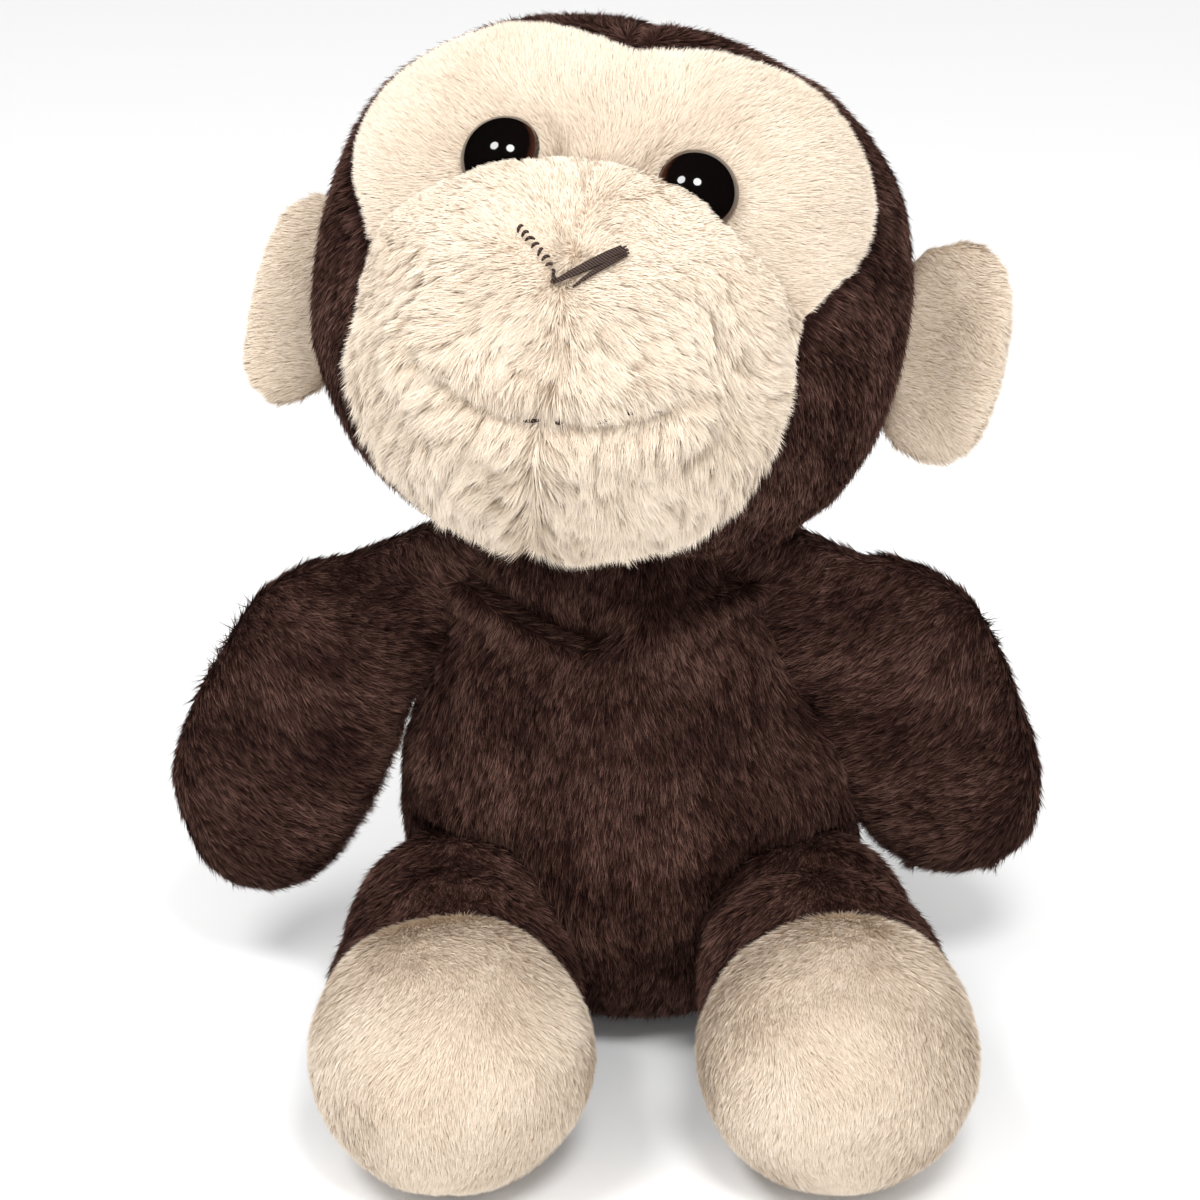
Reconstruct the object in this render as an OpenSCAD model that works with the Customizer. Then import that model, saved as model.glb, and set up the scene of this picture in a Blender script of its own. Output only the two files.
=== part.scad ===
// A small sitting stuffed monkey: plush panels sewn over stuffing, a pouch of pellets in the seat,
// moulded safety eyes, and rings of thread where the head, arms and legs are sewn to the body.
// Up is +Z, the monkey faces -Y and its left side is at +X. The origin is on the table under its middle.

/* [Fabric and thread] */
// Thickness of the plush, backing and pile root together
fabric_t = 1; // [0.6:0.1:1.6]
// Thickness of the thread in the seams
thread_d = 0.6; // [0.4:0.1:0.6]

/* [Head] */
// Width of the hooded head, ears left out
head_w = 92; // [86:1:96]
// Depth of the head from brow to back
head_d = 84; // [80:1:88]
// Height of the head
head_h = 84; // [80:1:86]
// How square the head is: 2 is an ellipsoid
head_squareness = 2.35; // [2:0.05:2.6]
// Width of the muzzle dome
muzzle_w = 68; // [60:1:70]
// Height of the muzzle dome
muzzle_h = 59; // [54:1:62]
// Depth of the muzzle dome
muzzle_d = 68; // [60:1:70]

/* [How the head is held] */
// Turn to the monkey's right, in degrees
head_turned = 11; // [0:1:15]
// Lift of the face, in degrees
head_lifted = 33; // [25:1:36]
// Lean of the crown to the monkey's left, in degrees
head_leaning = 7; // [0:1:10]

/* [Ears] */
// Height of an ear
ear_h = 35; // [28:1:38]
// How far the left ear stands out
ear_reach_left = 14; // [9:0.1:15]
// How far the right ear stands out
ear_reach_right = 10.6; // [9:0.1:15]
// Height of the left ear's middle from the head's middle
ear_up_left = 3; // [-8:0.5:6]
// Height of the right ear's middle from the head's middle
ear_up_right = -7.5; // [-8:0.5:6]
// Thickness of an ear
ear_t = 7; // [5:0.5:8]

/* [Eyes] */
// Diameter of the moulded safety eyes
eye_d = 12; // [10:0.5:13]
// Angle of each eye to the side of the nose
eye_side = 19.5; // [17:0.5:23]
// Angle of each eye above the centre of the face
eye_rise = 11.5; // [10:0.5:14]

/* [Body] */
// Width of the belly
belly_w = 74; // [70:1:78]
// Depth of the belly
belly_d = 66; // [62:1:70]
// Width across the shoulders
chest_w = 58; // [56:1:62]
// Height of the neck joint above the table
neck_z = 83; // [82:1:85]

/* [Arms] */
// Width of an arm at its widest
arm_w = 32; // [28:1:34]
// Length of an arm beyond its shoulder joint
arm_l = 63; // [58:1:65]
// Thickness of an arm
arm_t = 16; // [12:1:17]
// Lean of the right arm out from the body, in degrees
arm_lean_right = 21; // [19:1:28]
// Lean of the left arm out from the body, in degrees
arm_lean_left = 25; // [20:1:30]

/* [Legs] */
// Diameter of a foot
foot_d = 39; // [36:1:40]
// Distance from the hip joint to the middle of the foot
leg_l = 34; // [32:1:36]
// How far the left leg points outward, in degrees
leg_splay_left = 5; // [0:1:8]
// How far the right leg points inward, in degrees
leg_splay_right = 1; // [-4:1:3]

/* [Hidden] */

dark_fur = "#35241e";
cream_fur = "#e6d7be";
wadding = "#f4f2ee";
thread_brown = "#2b1c17";

LEFT = 1;               // side of the monkey's left hand, +X
RIGHT = -1;
fine = 48;              // $fn of the round pieces
nap = 0.2;              // gap between a panel's lining and the stuffing
seam_gap = 0.3;         // gap on each side of a joint's ring of thread
joint_gap = thread_d + 2 * seam_gap;    // gap between a stuffed ball joint and its socket
socket_gap = joint_gap + 0.7;           // the same where the socket is drawn in flat faces
head_socket_gap = 3;                    // and in the hood, whose faces there are larger

// The frame's origin is the middle of the outline on the table, the figure's own axis is beside it.
middle = [3.16, 17.51, 0];

body_at = [0, 0, 36];                   // centre that the body's panels are drawn from
neck_at = [-4.5, 0, neck_z];
head_at = [-3.2, -2, neck_z + 38];
neck_ball_r = 18;
shoulder_ball_r = 8.5;
hip_ball_r = 16;
shoulder_reach = 30.5;                  // sideways from the neck to each shoulder joint
function shoulder_at(side) = [neck_at.x + side * shoulder_reach, -6, 74.5];
function hip_at(side) = [side * 28, -24, 20];

arm_facing = 15;            // turn of each arm's flat front out from straight ahead
arm_drop = 32.5;            // from the shoulder joint down to the paddle's middle
arm_out = 9;                // from the shoulder joint out to the paddle's middle
paddle_half = [arm_w / 2, arm_t / 2, arm_l - arm_drop];
root_half = [11, shoulder_ball_r - 1, 26];
root_lean = atan2(arm_out, arm_drop);
root_up = 15;               // from the paddle's middle to the middle of the root
// A direction turned about Y, so that the root's long axis can be taken as Z.
function leant(d, a) = [d.x * cos(a) - d.z * sin(a), d.y, d.x * sin(a) + d.z * cos(a)];
function arm_lean(side) = side == LEFT ? -arm_lean_left : arm_lean_right;
function arm_axes(side) =
    let (f = side * arm_facing, l = arm_lean(side))
    [[cos(f), -sin(f), 0], [sin(f), cos(f), 0], [0, 0, 1]]
    * [[cos(l), 0, sin(l)], [0, 1, 0], [-sin(l), 0, cos(l)]];
function arm_middle(side) = shoulder_at(side) + arm_axes(side) * [side * arm_out, 0, -arm_drop];

// ---- Directions and distances ----

// A direction from a side angle and an angle of elevation, with [0, 0] straight ahead.
function toward(a) = [cos(a[1]) * sin(a[0]), -cos(a[1]) * cos(a[0]), sin(a[1])];
function unit(v) = v / norm(v);
// A point between two others, exactly on them at the ends.
function between(a, b, t) = a == b ? a : a * (1 - t) + b * t;
// A direction between two directions, at an even angle for an even t.
function swept(a, b, t) = let (w = acos(a * b)) a * (sin((1 - t) * w) / sin(w)) + b * (sin(t * w) / sin(w));
// Distance along d to a rounded box with the given half-sizes round the origin.
function to_rounded(d, half, p) =
    pow(pow(abs(d.x) / half.x, p) + pow(abs(d.y) / half.y, p) + pow(abs(d.z) / half.z, p), -1 / p);
// Distance along d to the far side of an ellipsoid, or 0 where it is missed.
function to_ellipsoid(d, half, c) =
    let (u = [d.x / half.x, d.y / half.y, d.z / half.z], v = [c.x / half.x, c.y / half.y, c.z / half.z],
         a = u * u, b = u * v, q = b * b - a * (v * v - 1))
    q > 0 ? max(0, (b + sqrt(q)) / a) : 0;
// The larger of two distances, with a soft fold where they cross.
function swelled(a, b, soft) = (a + b + sqrt((a - b) * (a - b) + soft * soft)) / 2;
// A distance cut short by a ball-shaped socket.
function socketed(r, d, c, ball) =
    let (b = d * c, q = b * b - c * c + ball * ball) b > 0 && q > 0 ? min(r, b - sqrt(q)) : r;
// A distance cut short at the near side of an ellipsoid.
function stopped(r, d, half, c) =
    let (u = [d.x / half.x, d.y / half.y, d.z / half.z], v = [c.x / half.x, c.y / half.y, c.z / half.z],
         a = u * u, b = u * v, q = b * b - a * (v * v - 1)) b > 0 && q > 0 ? min(r, (b - sqrt(q)) / a) : r;
// A distance cut short by a level floor.
function floored(r, d, drop) = d.z < 0 ? min(r, drop / -d.z) : r;

// ---- Sheets and solids over a grid of directions ----

// The two triangles of a grid cell, without those that a pole closes up.
function halves(q, points) = [
    for (t = [[q[0], q[1], q[2]], [q[0], q[2], q[3]]])
        if (points[t[0]] != points[t[1]] && points[t[1]] != points[t[2]] && points[t[2]] != points[t[0]]) t
];
// The cells of a grid whose first point has index base.
function cells(rows, cols, base, flip) = [
    for (i = [0 : rows - 2], j = [0 : cols - 2])
        let (a = base + i * cols + j, b = a + 1, c = b + cols, d = a + cols)
        flip ? [a, d, c, b] : [a, b, c, d]
];
// Whether a grid of directions needs its cells turned to face outward.
function turned(grid) =
    let (i = floor(len(grid) / 2), j = floor(len(grid[0]) / 2), p = grid[i][j])
    cross(grid[i][j + 1] - p, grid[i + 1][j] - p) * p > 0;

// A fabric panel: the sheet between reach(d) and the same less the fabric's thickness.
module panel(grid, reach, ring = false) {
    rows = len(grid);
    cols = len(grid[0]);
    count = rows * cols;
    flip = turned(grid);
    points = concat([for (row = grid, d = row) d * reach(d)],
                    [for (row = grid, d = row) d * (reach(d) - fabric_t)]);
    border = concat([for (j = [0 : cols - 2]) [j, j + 1]],
                    [for (j = [0 : cols - 2]) [count - 1 - j, count - 2 - j]],
                    ring ? [] : [for (i = [0 : rows - 2]) [(i + 1) * cols - 1, (i + 2) * cols - 1]],
                    ring ? [] : [for (i = [0 : rows - 2]) [(rows - 1 - i) * cols, (rows - 2 - i) * cols]]);
    walls = [for (e = border) flip ? [e[0], e[1], e[1] + count, e[0] + count]
                                   : [e[1], e[0], e[0] + count, e[1] + count]];
    sheets = concat(cells(rows, cols, 0, flip), cells(rows, cols, count, !flip), walls);
    polyhedron(points, [for (q = sheets) each halves(q, points)]);
}

// A solid of stuffing whose skin is at reach(d), over a whole sphere of directions.
module stuffing(grid, reach) {
    points = [for (row = grid, d = row) d * reach(d)];
    polyhedron(points, [for (q = cells(len(grid), len(grid[0]), 0, turned(grid))) each halves(q, points)]);
}
// Directions round an axis along Y, from an angle to another, with 0 straight ahead.
function rings(around, steps, from, to) = [
    for (i = [0 : steps]) let (a = from + (to - from) * i / steps)
        [for (j = [0 : around]) let (f = 360 * j / around) [sin(a) * cos(f), -cos(a), sin(a) * sin(f)]]
];

// A ring of thread on a ball joint, at an angle from the axis along which the ball is sewn on.
module thread_ring(ball_r, angle) {
    r = ball_r + seam_gap + thread_d / 2;
    color(thread_brown) translate([0, 0, r * cos(angle)])
        rotate_extrude($fn = fine) translate([r * sin(angle), 0]) circle(d = thread_d, $fn = 16);
}
// One stitch: a straight run of thread with round ends.
module stitch(a, b, d) {
    run = b - a;
    color(thread_brown) translate(a)
        rotate([0, acos(run.z / norm(run)), atan2(run.y, run.x)]) {
            cylinder(h = norm(run), d = d, $fn = 16);
            sphere(d = d, $fn = 16);
            translate([0, 0, norm(run)]) sphere(d = d, $fn = 16);
        }
}

// ---- Body: three sleeves of brown plush, a flat seat, stuffing and pellets ----

belly_half = [belly_w / 2, belly_d / 2, 36];
chest_half = [chest_w / 2, 26, 26];
seat_half = [36, 30, 24];
belly_c = [0, -1, -2];
chest_c = [-3.5, 0, 24];
seat_c = [0, 4, -16];
body_soft = 3;
body_front_edge = 95;       // side angle of the front panel's two side seams
body_top = 65;              // elevation of the neck opening's rim
body_bottom = -58;          // elevation of the seat panel's rim

arm_room = 1.7;             // gap kept round an arm's paddle and root where they lie against the body
ankle_room = 19.5;          // radius kept free round a lifted ankle
arm_swell = 1.07;           // how far the squarish paddle stands out past an ellipsoid
// A distance cut short where an arm rests against the body.
function dented(r, d, side) =
    let (e = d * arm_axes(side), c = (arm_middle(side) - body_at) * arm_axes(side), a = -side * root_lean)
    stopped(stopped(r, e, paddle_half * arm_swell + arm_room * [1, 1, 1], c),
            leant(e, a), root_half + arm_room * [1, 1, 1], leant(c, a) + [0, 0, root_up]);
shoulder_room = shoulder_ball_r + socket_gap + 0.5;     // radius of each shoulder's socket
leg_lift = 25;              // how far a leg lifts before its ankle meets the belly
// A distance cut short by a hip's socket, and by the ankle when the leg is lifted.
function hipped(r, d, side) = stopped(
    socketed(r, d, hip_at(side) - body_at, hip_ball_r + socket_gap), d, ankle_room * [1, 1, 1],
    hip_at(side) + leg_l / 2 * [0, -cos(leg_lift), sin(leg_lift)] - body_at);
function body_reach(d) =
    let (soft = swelled(swelled(to_ellipsoid(d, belly_half, belly_c), to_ellipsoid(d, seat_half, seat_c),
                                body_soft), to_ellipsoid(d, chest_half, chest_c), body_soft),
         neck = socketed(soft, d, neck_at - body_at, neck_ball_r + socket_gap),
         left_arm = socketed(dented(neck, d, LEFT), d, shoulder_at(LEFT) - body_at, shoulder_room),
         right_arm = socketed(dented(left_arm, d, RIGHT), d, shoulder_at(RIGHT) - body_at, shoulder_room),
         left_leg = hipped(right_arm, d, LEFT),
         right_leg = hipped(left_leg, d, RIGHT))
    floored(right_leg, d, body_at.z - fabric_t);
function body_inside(d) = body_reach(d) - fabric_t - nap;
back_cols = 12;
front_cols = 26;
body_rows = 14;
function body_el(i) = body_top + (body_bottom - body_top) * i / body_rows;
function body_grid(from, to, across) = [
    for (i = [0 : body_rows]) [for (j = [0 : across]) toward([from + (to - from) * j / across, body_el(i)])]
];
// The same directions all round, carried on to a pole at the top and bottom.
body_sides = concat([for (j = [0 : front_cols]) -body_front_edge + 2 * body_front_edge * j / front_cols],
                    [for (j = [1 : back_cols]) body_front_edge + (180 - body_front_edge) * j / back_cols],
                    [for (j = [1 : back_cols]) 180 + (180 - body_front_edge) * j / back_cols]);
body_globe = [
    for (el = concat([90, 85, 80, 75, 70], [for (i = [0 : body_rows]) body_el(i)], [-70, -80, -90]))
        [for (az = body_sides) toward([az, el])]
];
module body_sleeve(from, to, across) {
    color(dark_fur) translate(middle + body_at)
        panel(body_grid(from, to, across), function (d) body_reach(d));
}
module body_front() { body_sleeve(-body_front_edge, body_front_edge, front_cols); }
module body_back_left() { body_sleeve(body_front_edge, 180, back_cols); }
module body_back_right() { body_sleeve(180, 360 - body_front_edge, back_cols); }

pouch_r = 16;
pouch_h = 13;
pouch_wall = 0.6;
pouch_at = middle + [0, 4, fabric_t + 0.4];
module seat_panel() {
    flat_x = 21.5;
    flat_y = 18.5;
    color(dark_fur) translate(middle + [0, 3.5, 0]) linear_extrude(fabric_t)
        polygon([for (k = [0 : fine - 1]) [flat_x * cos(360 * k / fine), flat_y * sin(360 * k / fine)]]);
}
module body_stuffing() {
    color(wadding) difference() {
        translate(middle + body_at) stuffing(body_globe, function (d) body_inside(d));
        translate([pouch_at.x, pouch_at.y, 0])
            cylinder(h = pouch_at.z + pouch_h + nap, r = pouch_r + nap, $fn = fine);
    }
}
module pouch(inset) {
    r = pouch_r - inset;
    h = pouch_h - 2 * inset;
    round_r = 4 - inset;
    translate(pouch_at + [0, 0, inset]) rotate_extrude($fn = fine) {
        square([r - round_r, h]);
        translate([0, round_r]) square([r, h - 2 * round_r]);
        for (z = [round_r, h - round_r]) translate([r - round_r, z]) circle(r = round_r, $fn = 24);
    }
}
module pellet_bag() {
    color("#d8d2c4") difference() {
        pouch(0);
        pouch(pouch_wall);
    }
}
module pellets() {
    pellet_d = 3.4;
    pitch = 3.9;
    color("#f0efe9") for (layer = [0 : 1], row = [-3 : 3], k = [0 : 6 - abs(row)])
        translate(pouch_at + [(k - (6 - abs(row)) / 2) * pitch, row * pitch * sin(60),
                              pouch_wall + 0.2 + pellet_d / 2 + layer * pitch])
            sphere(d = pellet_d, $fn = 24);
}
module closing_seam_thread() {
    // A ladder of hand stitches across the back seam, low down, where the stuffing went in.
    stitches = 7;
    for (k = [0 : stitches - 1]) {
        el = -28 + 6 * k;
        a = toward([180 - 2.5, el - 1.5]);
        b = toward([180 + 2.5, el + 1.5]);
        stitch(middle + body_at + a * (body_reach(a) + 0.8 * thread_d),
               middle + body_at + b * (body_reach(b) + 0.8 * thread_d), thread_d);
    }
}

// ---- Neck: a ball of stuffing in a socket above and below, with its ring of thread ----

module neck_seam_thread() { translate(middle + neck_at) thread_ring(neck_ball_r, 60); }
module neck_stuffing() { color(wadding) translate(middle + neck_at) sphere(r = neck_ball_r, $fn = fine); }

// ---- Head: hood in two halves, brow and two muzzle panels round the face ----

head_half = [head_w / 2, head_d / 2, head_h / 2];
muzzle_half = [muzzle_w / 2, muzzle_d / 2, muzzle_h / 2];
muzzle_c = [0, -22, -16];
muzzle_soft = 1.2;
about_x = [[1, 0, 0], [0, cos(head_lifted), sin(head_lifted)], [0, -sin(head_lifted), cos(head_lifted)]];
about_y = [[cos(head_leaning), 0, sin(head_leaning)], [0, 1, 0], [-sin(head_leaning), 0, cos(head_leaning)]];
about_z = [[cos(head_turned), sin(head_turned), 0], [-sin(head_turned), cos(head_turned), 0], [0, 0, 1]];
head_axes = about_z * about_y * about_x;
neck_in_head = (neck_at - head_at) * head_axes;
module in_head() {
    translate(middle + head_at) rotate([-head_lifted, head_leaning, -head_turned]) children();
}
function head_reach(d) = socketed(
    swelled(to_rounded(d, head_half, head_squareness), to_ellipsoid(d, muzzle_half, muzzle_c), muzzle_soft),
    d, neck_in_head, neck_ball_r + head_socket_gap);
// The stuffing is slacker toward the neck, and stays well clear of the neck opening's rim.
neck_slack = 6;
function head_inside(d) = socketed(
    head_reach(d) - fabric_t - 3 * nap - neck_slack * max(0, d * unit(neck_in_head)), d, neck_in_head,
    neck_ball_r + head_socket_gap + neck_slack);

// The cream face's outline down its left side, as side angle and elevation: from the notch, round the
// brow's lobe and the waist, to the cheek and the chin.
face_outline = [[0, 44], [13, 48], [28, 51], [46, 48], [59, 36], [63, 20], [55, 5],
                [46, -6], [45, -18], [48, -31], [44, -45], [27, -57], [0, -61]];
waist = 7;                  // the outline's point where the brow meets the muzzle
steps_per_point = 2;
face_rows = (len(face_outline) - 1) * steps_per_point;
waist_row = waist * steps_per_point;
// A smooth curve through a list of points.
function curve(list, t) =
    let (last = len(list) - 1, k = min(floor(t), last - 1), f = t - k,
         p0 = list[max(k - 1, 0)], p1 = list[k], p2 = list[k + 1], p3 = list[min(k + 2, last)])
    p1 + f * ((p2 - p0) / 2 + f * (p0 - 2.5 * p1 + 2 * p2 - p3 / 2 + f * (1.5 * (p1 - p2) + (p3 - p0) / 2)));
outline_angles = [for (i = [0 : face_rows]) curve(face_outline, i / steps_per_point)];
outline = [for (a = outline_angles) unit(toward(a))];
// The face's centre line: evenly down the brow to the nose's root, then down the muzzle to the chin.
nose_root = 12;
notch_el = face_outline[0][1];
chin_el = face_outline[len(face_outline) - 1][1];
function centre_el(i) = i <= waist_row
    ? notch_el + (nose_root - notch_el) * i / waist_row
    : nose_root + (chin_el - nose_root) * (i - waist_row) / (face_rows - waist_row);
function mirrored(d, side) = side == LEFT ? d : [-d.x, d.y, d.z];
function face_row(i, from, to, half) = [
    for (j = [from : to])
        mirrored(unit(between(unit(toward([0, centre_el(i)])), outline[i], abs(j) / half)),
                 j < 0 ? RIGHT : LEFT)
];
brow_cols = 7;
muzzle_cols = 9;
eye_hole_r = 2.2;
module eye_axis(side) {
    aim = toward([side * eye_side, eye_rise]);
    in_head() translate(aim * head_reach(aim)) rotate([90 - eye_rise, 0, side * eye_side]) children();
}
// The stem's holes, and the plush pressed flat under each eye and over each washer.
module eye_rooms() {
    for (side = [LEFT, RIGHT]) eye_axis(side) {
        translate([0, 0, -4]) cylinder(h = 8, r = eye_hole_r, $fn = fine);
        translate([0, 0, eye_lift - nap / 2]) cylinder(h = 6, d = eye_d + 2 * nap, $fn = fine);
        translate([0, 0, -fabric_t - washer_t - 2 * nap])
            cylinder(h = washer_t + 1.5 * nap, d = washer_d + 2 * nap, $fn = fine);
    }
}
module brow_panel() {
    color(cream_fur) difference() {
        in_head() panel([for (i = [0 : waist_row]) face_row(i, -brow_cols, brow_cols, brow_cols)],
                        function (d) head_reach(d));
        eye_rooms();
    }
}
module muzzle_half_panel(side) {
    from = side == LEFT ? 0 : -muzzle_cols;
    to = from + muzzle_cols;
    color(cream_fur) difference() {
        in_head() panel([for (i = [waist_row : face_rows]) face_row(i, from, to, muzzle_cols)],
                        function (d) head_reach(d));
        eye_rooms();
    }
}
module muzzle_left() { muzzle_half_panel(LEFT); }
module muzzle_right() { muzzle_half_panel(RIGHT); }

// A direction on the head's middle plane, at an angle measured from straight ahead down under the chin.
function under(a) = [0, -cos(a), -sin(a)];
neck_angle = 180 - atan2(-neck_in_head.z, neck_in_head.y);
neck_open = 20;             // half-angle of the hood's opening for the neck
chin_angle = -chin_el;
notch_angle = 360 - notch_el;
function neck_rim(t) = cos(neck_open) * under(neck_angle)
    + sin(neck_open) * (cos(180 * t) * under(neck_angle - 90) + sin(180 * t) * [1, 0, 0]);
hood_middle = unit(toward([112, 14]));
hood_loop = concat(
    outline,
    [for (k = [1 : 3]) under(chin_angle + (neck_angle - neck_open - chin_angle) * k / 3)],
    [for (k = [1 : 8]) neck_rim(k / 8)],
    [for (k = [1 : 16]) k == 16 ? outline[0]
        : under(neck_angle + neck_open + (notch_angle - neck_angle - neck_open) * k / 16)]);
module hood_half(side) {
    color(dark_fur) in_head() panel(
        [for (i = [0 : 7]) [for (edge = hood_loop) mirrored(swept(hood_middle, edge, i / 7), side)]],
        function (d) head_reach(d), ring = true);
}
module hood_left() { hood_half(LEFT); }
module hood_right() { hood_half(RIGHT); }
module head_stuffing() {
    color(wadding) difference() {
        in_head() stuffing(rings(40, 28, 0, 180), function (d) head_inside(d));
        for (side = [LEFT, RIGHT]) eye_axis(side) translate([0, 0, -14]) {
            cylinder(h = 16, r = eye_hole_r, $fn = fine);
            translate([0, 0, 14 - fabric_t - washer_t - 2 * nap])
                cylinder(h = 4, d = washer_d + 2 * nap, $fn = fine);
        }
    }
}

// ---- Safety eyes: a clear brown cap on a black back with a ribbed stem, and a washer inside ----

eye_back_t = 0.8;
eye_lift = 0.2;             // the eye's back stands this far off the plush's backing
stem_r = 1.9;
stem_l = 11;
washer_d = 13;
washer_t = 1.2;
module eye_cap(side) {
    dome_h = 3.8;
    dome_r = (eye_d * eye_d / 4 + dome_h * dome_h) / (2 * dome_h);
    color("#4a1f10") eye_axis(side) translate([0, 0, eye_lift + eye_back_t]) intersection() {
        translate([0, 0, dome_h - dome_r]) sphere(r = dome_r, $fn = fine);
        cylinder(h = eye_d, d = eye_d + 1, $fn = fine);
    }
}
module eye_cap_left() { eye_cap(LEFT); }
module eye_cap_right() { eye_cap(RIGHT); }
module eye_shank(side) {
    ribs = 4;
    color("#0c0a0a") eye_axis(side) {
        translate([0, 0, eye_lift]) cylinder(h = eye_back_t, d = eye_d, $fn = fine);
        translate([0, 0, eye_lift - stem_l]) cylinder(h = stem_l, r = stem_r - 0.2, $fn = fine);
        for (k = [0 : ribs - 1]) translate([0, 0, eye_lift - stem_l + 0.5 + 1.6 * k])
            cylinder(h = 0.8, r = stem_r, $fn = fine);
    }
}
module eye_shank_left() { eye_shank(LEFT); }
module eye_shank_right() { eye_shank(RIGHT); }
module eye_washer(side) {
    color("#e8e6e0") eye_axis(side) translate([0, 0, -fabric_t - nap - washer_t]) difference() {
        cylinder(h = washer_t, d = washer_d, $fn = fine);
        translate([0, 0, -1]) cylinder(h = washer_t + 2, r = stem_r + 0.05, $fn = fine);
    }
}
module eye_washer_left() { eye_washer(LEFT); }
module eye_washer_right() { eye_washer(RIGHT); }

// ---- Embroidered nose and smile ----

// One stitch over the face between two places given as side angle and elevation.
module face_stitch(a, b, d, rise = 0.1) {
    from = toward(a);
    to = toward(b);
    in_head() stitch(from * (head_reach(from) + d / 2 + rise), to * (head_reach(to) + d / 2 + rise), d);
}
module nose_stitching() {
    point = [0, -10];
    thick = 1.1;
    for (side = [LEFT, RIGHT]) face_stitch([side * 0.8, point[1]], [side * 8.5, point[1] + 7], thick, 0.7);
}
module mouth_stitching() {
    // Short stitches along the smile, from cheek to cheek.
    smile = [[-20, -24.5], [-11, -28.5], [0, -30], [11, -28.5], [20, -24.5]];
    stitches = 10;
    spans = len(smile) - 1;
    for (k = [0 : stitches - 1])
        face_stitch(curve(smile, spans * (k + 0.15) / stitches),
                    curve(smile, spans * (k + 0.75) / stitches), thread_d);
}

// ---- Ears: two cream panels over thin wadding, folding on the seam in the hood ----

ear_squareness = 2.4;
ear_base = head_w / 2 + 0.4;
function ear_reach(side) = side == LEFT ? ear_reach_left : ear_reach_right;
function ear_up(side) = side == LEFT ? ear_up_left : ear_up_right;
function ear_side(side) = [side * (ear_base + ear_reach(side) / 2), 11, ear_up(side)];
function ear_edge(d, side) = to_rounded(d, [ear_reach(side), ear_t, ear_h] / 2, ear_squareness);
module ear_panel(side, from, to) {
    color(cream_fur) in_head() translate(ear_side(side))
        panel(rings(24, 4, from, to), function (d) ear_edge(d, side), ring = true);
}
module ear_front_left() { ear_panel(LEFT, 0, 90); }
module ear_back_left() { ear_panel(LEFT, 90, 180); }
module ear_front_right() { ear_panel(RIGHT, 0, 90); }
module ear_back_right() { ear_panel(RIGHT, 90, 180); }
module ear_wadding(side) {
    color(wadding) in_head() translate(ear_side(side))
        stuffing(rings(24, 8, 0, 180), function (d) ear_edge(d, side) - fabric_t - nap);
}
module ear_wadding_left() { ear_wadding(LEFT); }
module ear_wadding_right() { ear_wadding(RIGHT); }

// ---- Arms: padded paddles of a front and a back panel ----

paddle_squareness = 2.3;
arm_soft = 2;
function arm_reach(d, side) = swelled(
    to_rounded(d, paddle_half, paddle_squareness),
    to_ellipsoid(leant(d, -side * root_lean), root_half, [0, 0, root_up]), arm_soft);
module in_arm(side) {
    translate(middle + shoulder_at(side)) rotate([0, arm_lean(side), side * arm_facing])
        translate([side * arm_out, 0, -arm_drop]) children();
}
module arm_panel(side, from, to) {
    color(dark_fur) in_arm(side) panel(rings(28, 5, from, to), function (d) arm_reach(d, side), ring = true);
}
module arm_front_left() { arm_panel(LEFT, 0, 90); }
module arm_back_left() { arm_panel(LEFT, 90, 180); }
module arm_front_right() { arm_panel(RIGHT, 0, 90); }
module arm_back_right() { arm_panel(RIGHT, 90, 180); }
module arm_stuffing(side) {
    color(wadding) in_arm(side)
        stuffing(rings(28, 10, 0, 180), function (d) arm_reach(d, side) - fabric_t - nap);
}
module arm_stuffing_left() { arm_stuffing(LEFT); }
module arm_stuffing_right() { arm_stuffing(RIGHT); }
// The ring of thread is wound about the swing axis, so that it stays in place as the arm swings.
module shoulder_thread(side) {
    translate(middle + shoulder_at(side)) rotate([0, 0, side * arm_facing]) rotate([0, -side * 90, 0])
        thread_ring(shoulder_ball_r, 35);
}
module shoulder_seam_thread_left() { shoulder_thread(LEFT); }
module shoulder_seam_thread_right() { shoulder_thread(RIGHT); }

// ---- Legs: a brown sleeve from the hip, and a cream foot of an upper and a sole ----

foot_r = foot_d / 2;
leg_half = leg_l / 2;
leg_drop = hip_at(LEFT).z;      // height of the leg's axis above the table
ankle_r = 18;
leg_soft = 1.5;
cuff_angle = 62;                // angle from straight ahead at which the foot's cream plush ends
sole_half = 60;                 // half of the sole's share of the cuff's round
cuff_cols = 36;                 // steps round the cuff, shared by the sleeve, the upper and the sole
toe_drop = 38;                  // how far below straight ahead the sole's seams meet
function leg_reach(d) = floored(
    swelled(swelled(to_ellipsoid(d, [hip_ball_r, hip_ball_r, hip_ball_r], [0, leg_half, 0]),
                    to_ellipsoid(d, [foot_r, foot_r, foot_r], [0, -leg_half, 0]), leg_soft),
            to_ellipsoid(d, [ankle_r, leg_half, ankle_r], [0, 0, 0]), leg_soft),
    d, leg_drop);
function leg_turn(side) = side == LEFT ? leg_splay_left : leg_splay_right;
module in_leg(side) {
    translate(middle + hip_at(side)) rotate([0, 0, leg_turn(side)]) translate([0, -leg_half, 0]) children();
}
module leg_sleeve(side) {
    color(dark_fur) in_leg(side)
        panel(rings(cuff_cols, 8, cuff_angle, 180), function (d) leg_reach(d), ring = true);
}
module leg_sleeve_left() { leg_sleeve(LEFT); }
module leg_sleeve_right() { leg_sleeve(RIGHT); }
sole_cols = cuff_cols * 2 * sole_half / 360;
upper_cols = cuff_cols - sole_cols;
foot_rows = 10;
function cuff(f) = [sin(cuff_angle) * cos(f), -cos(cuff_angle), sin(cuff_angle) * sin(f)];
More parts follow.
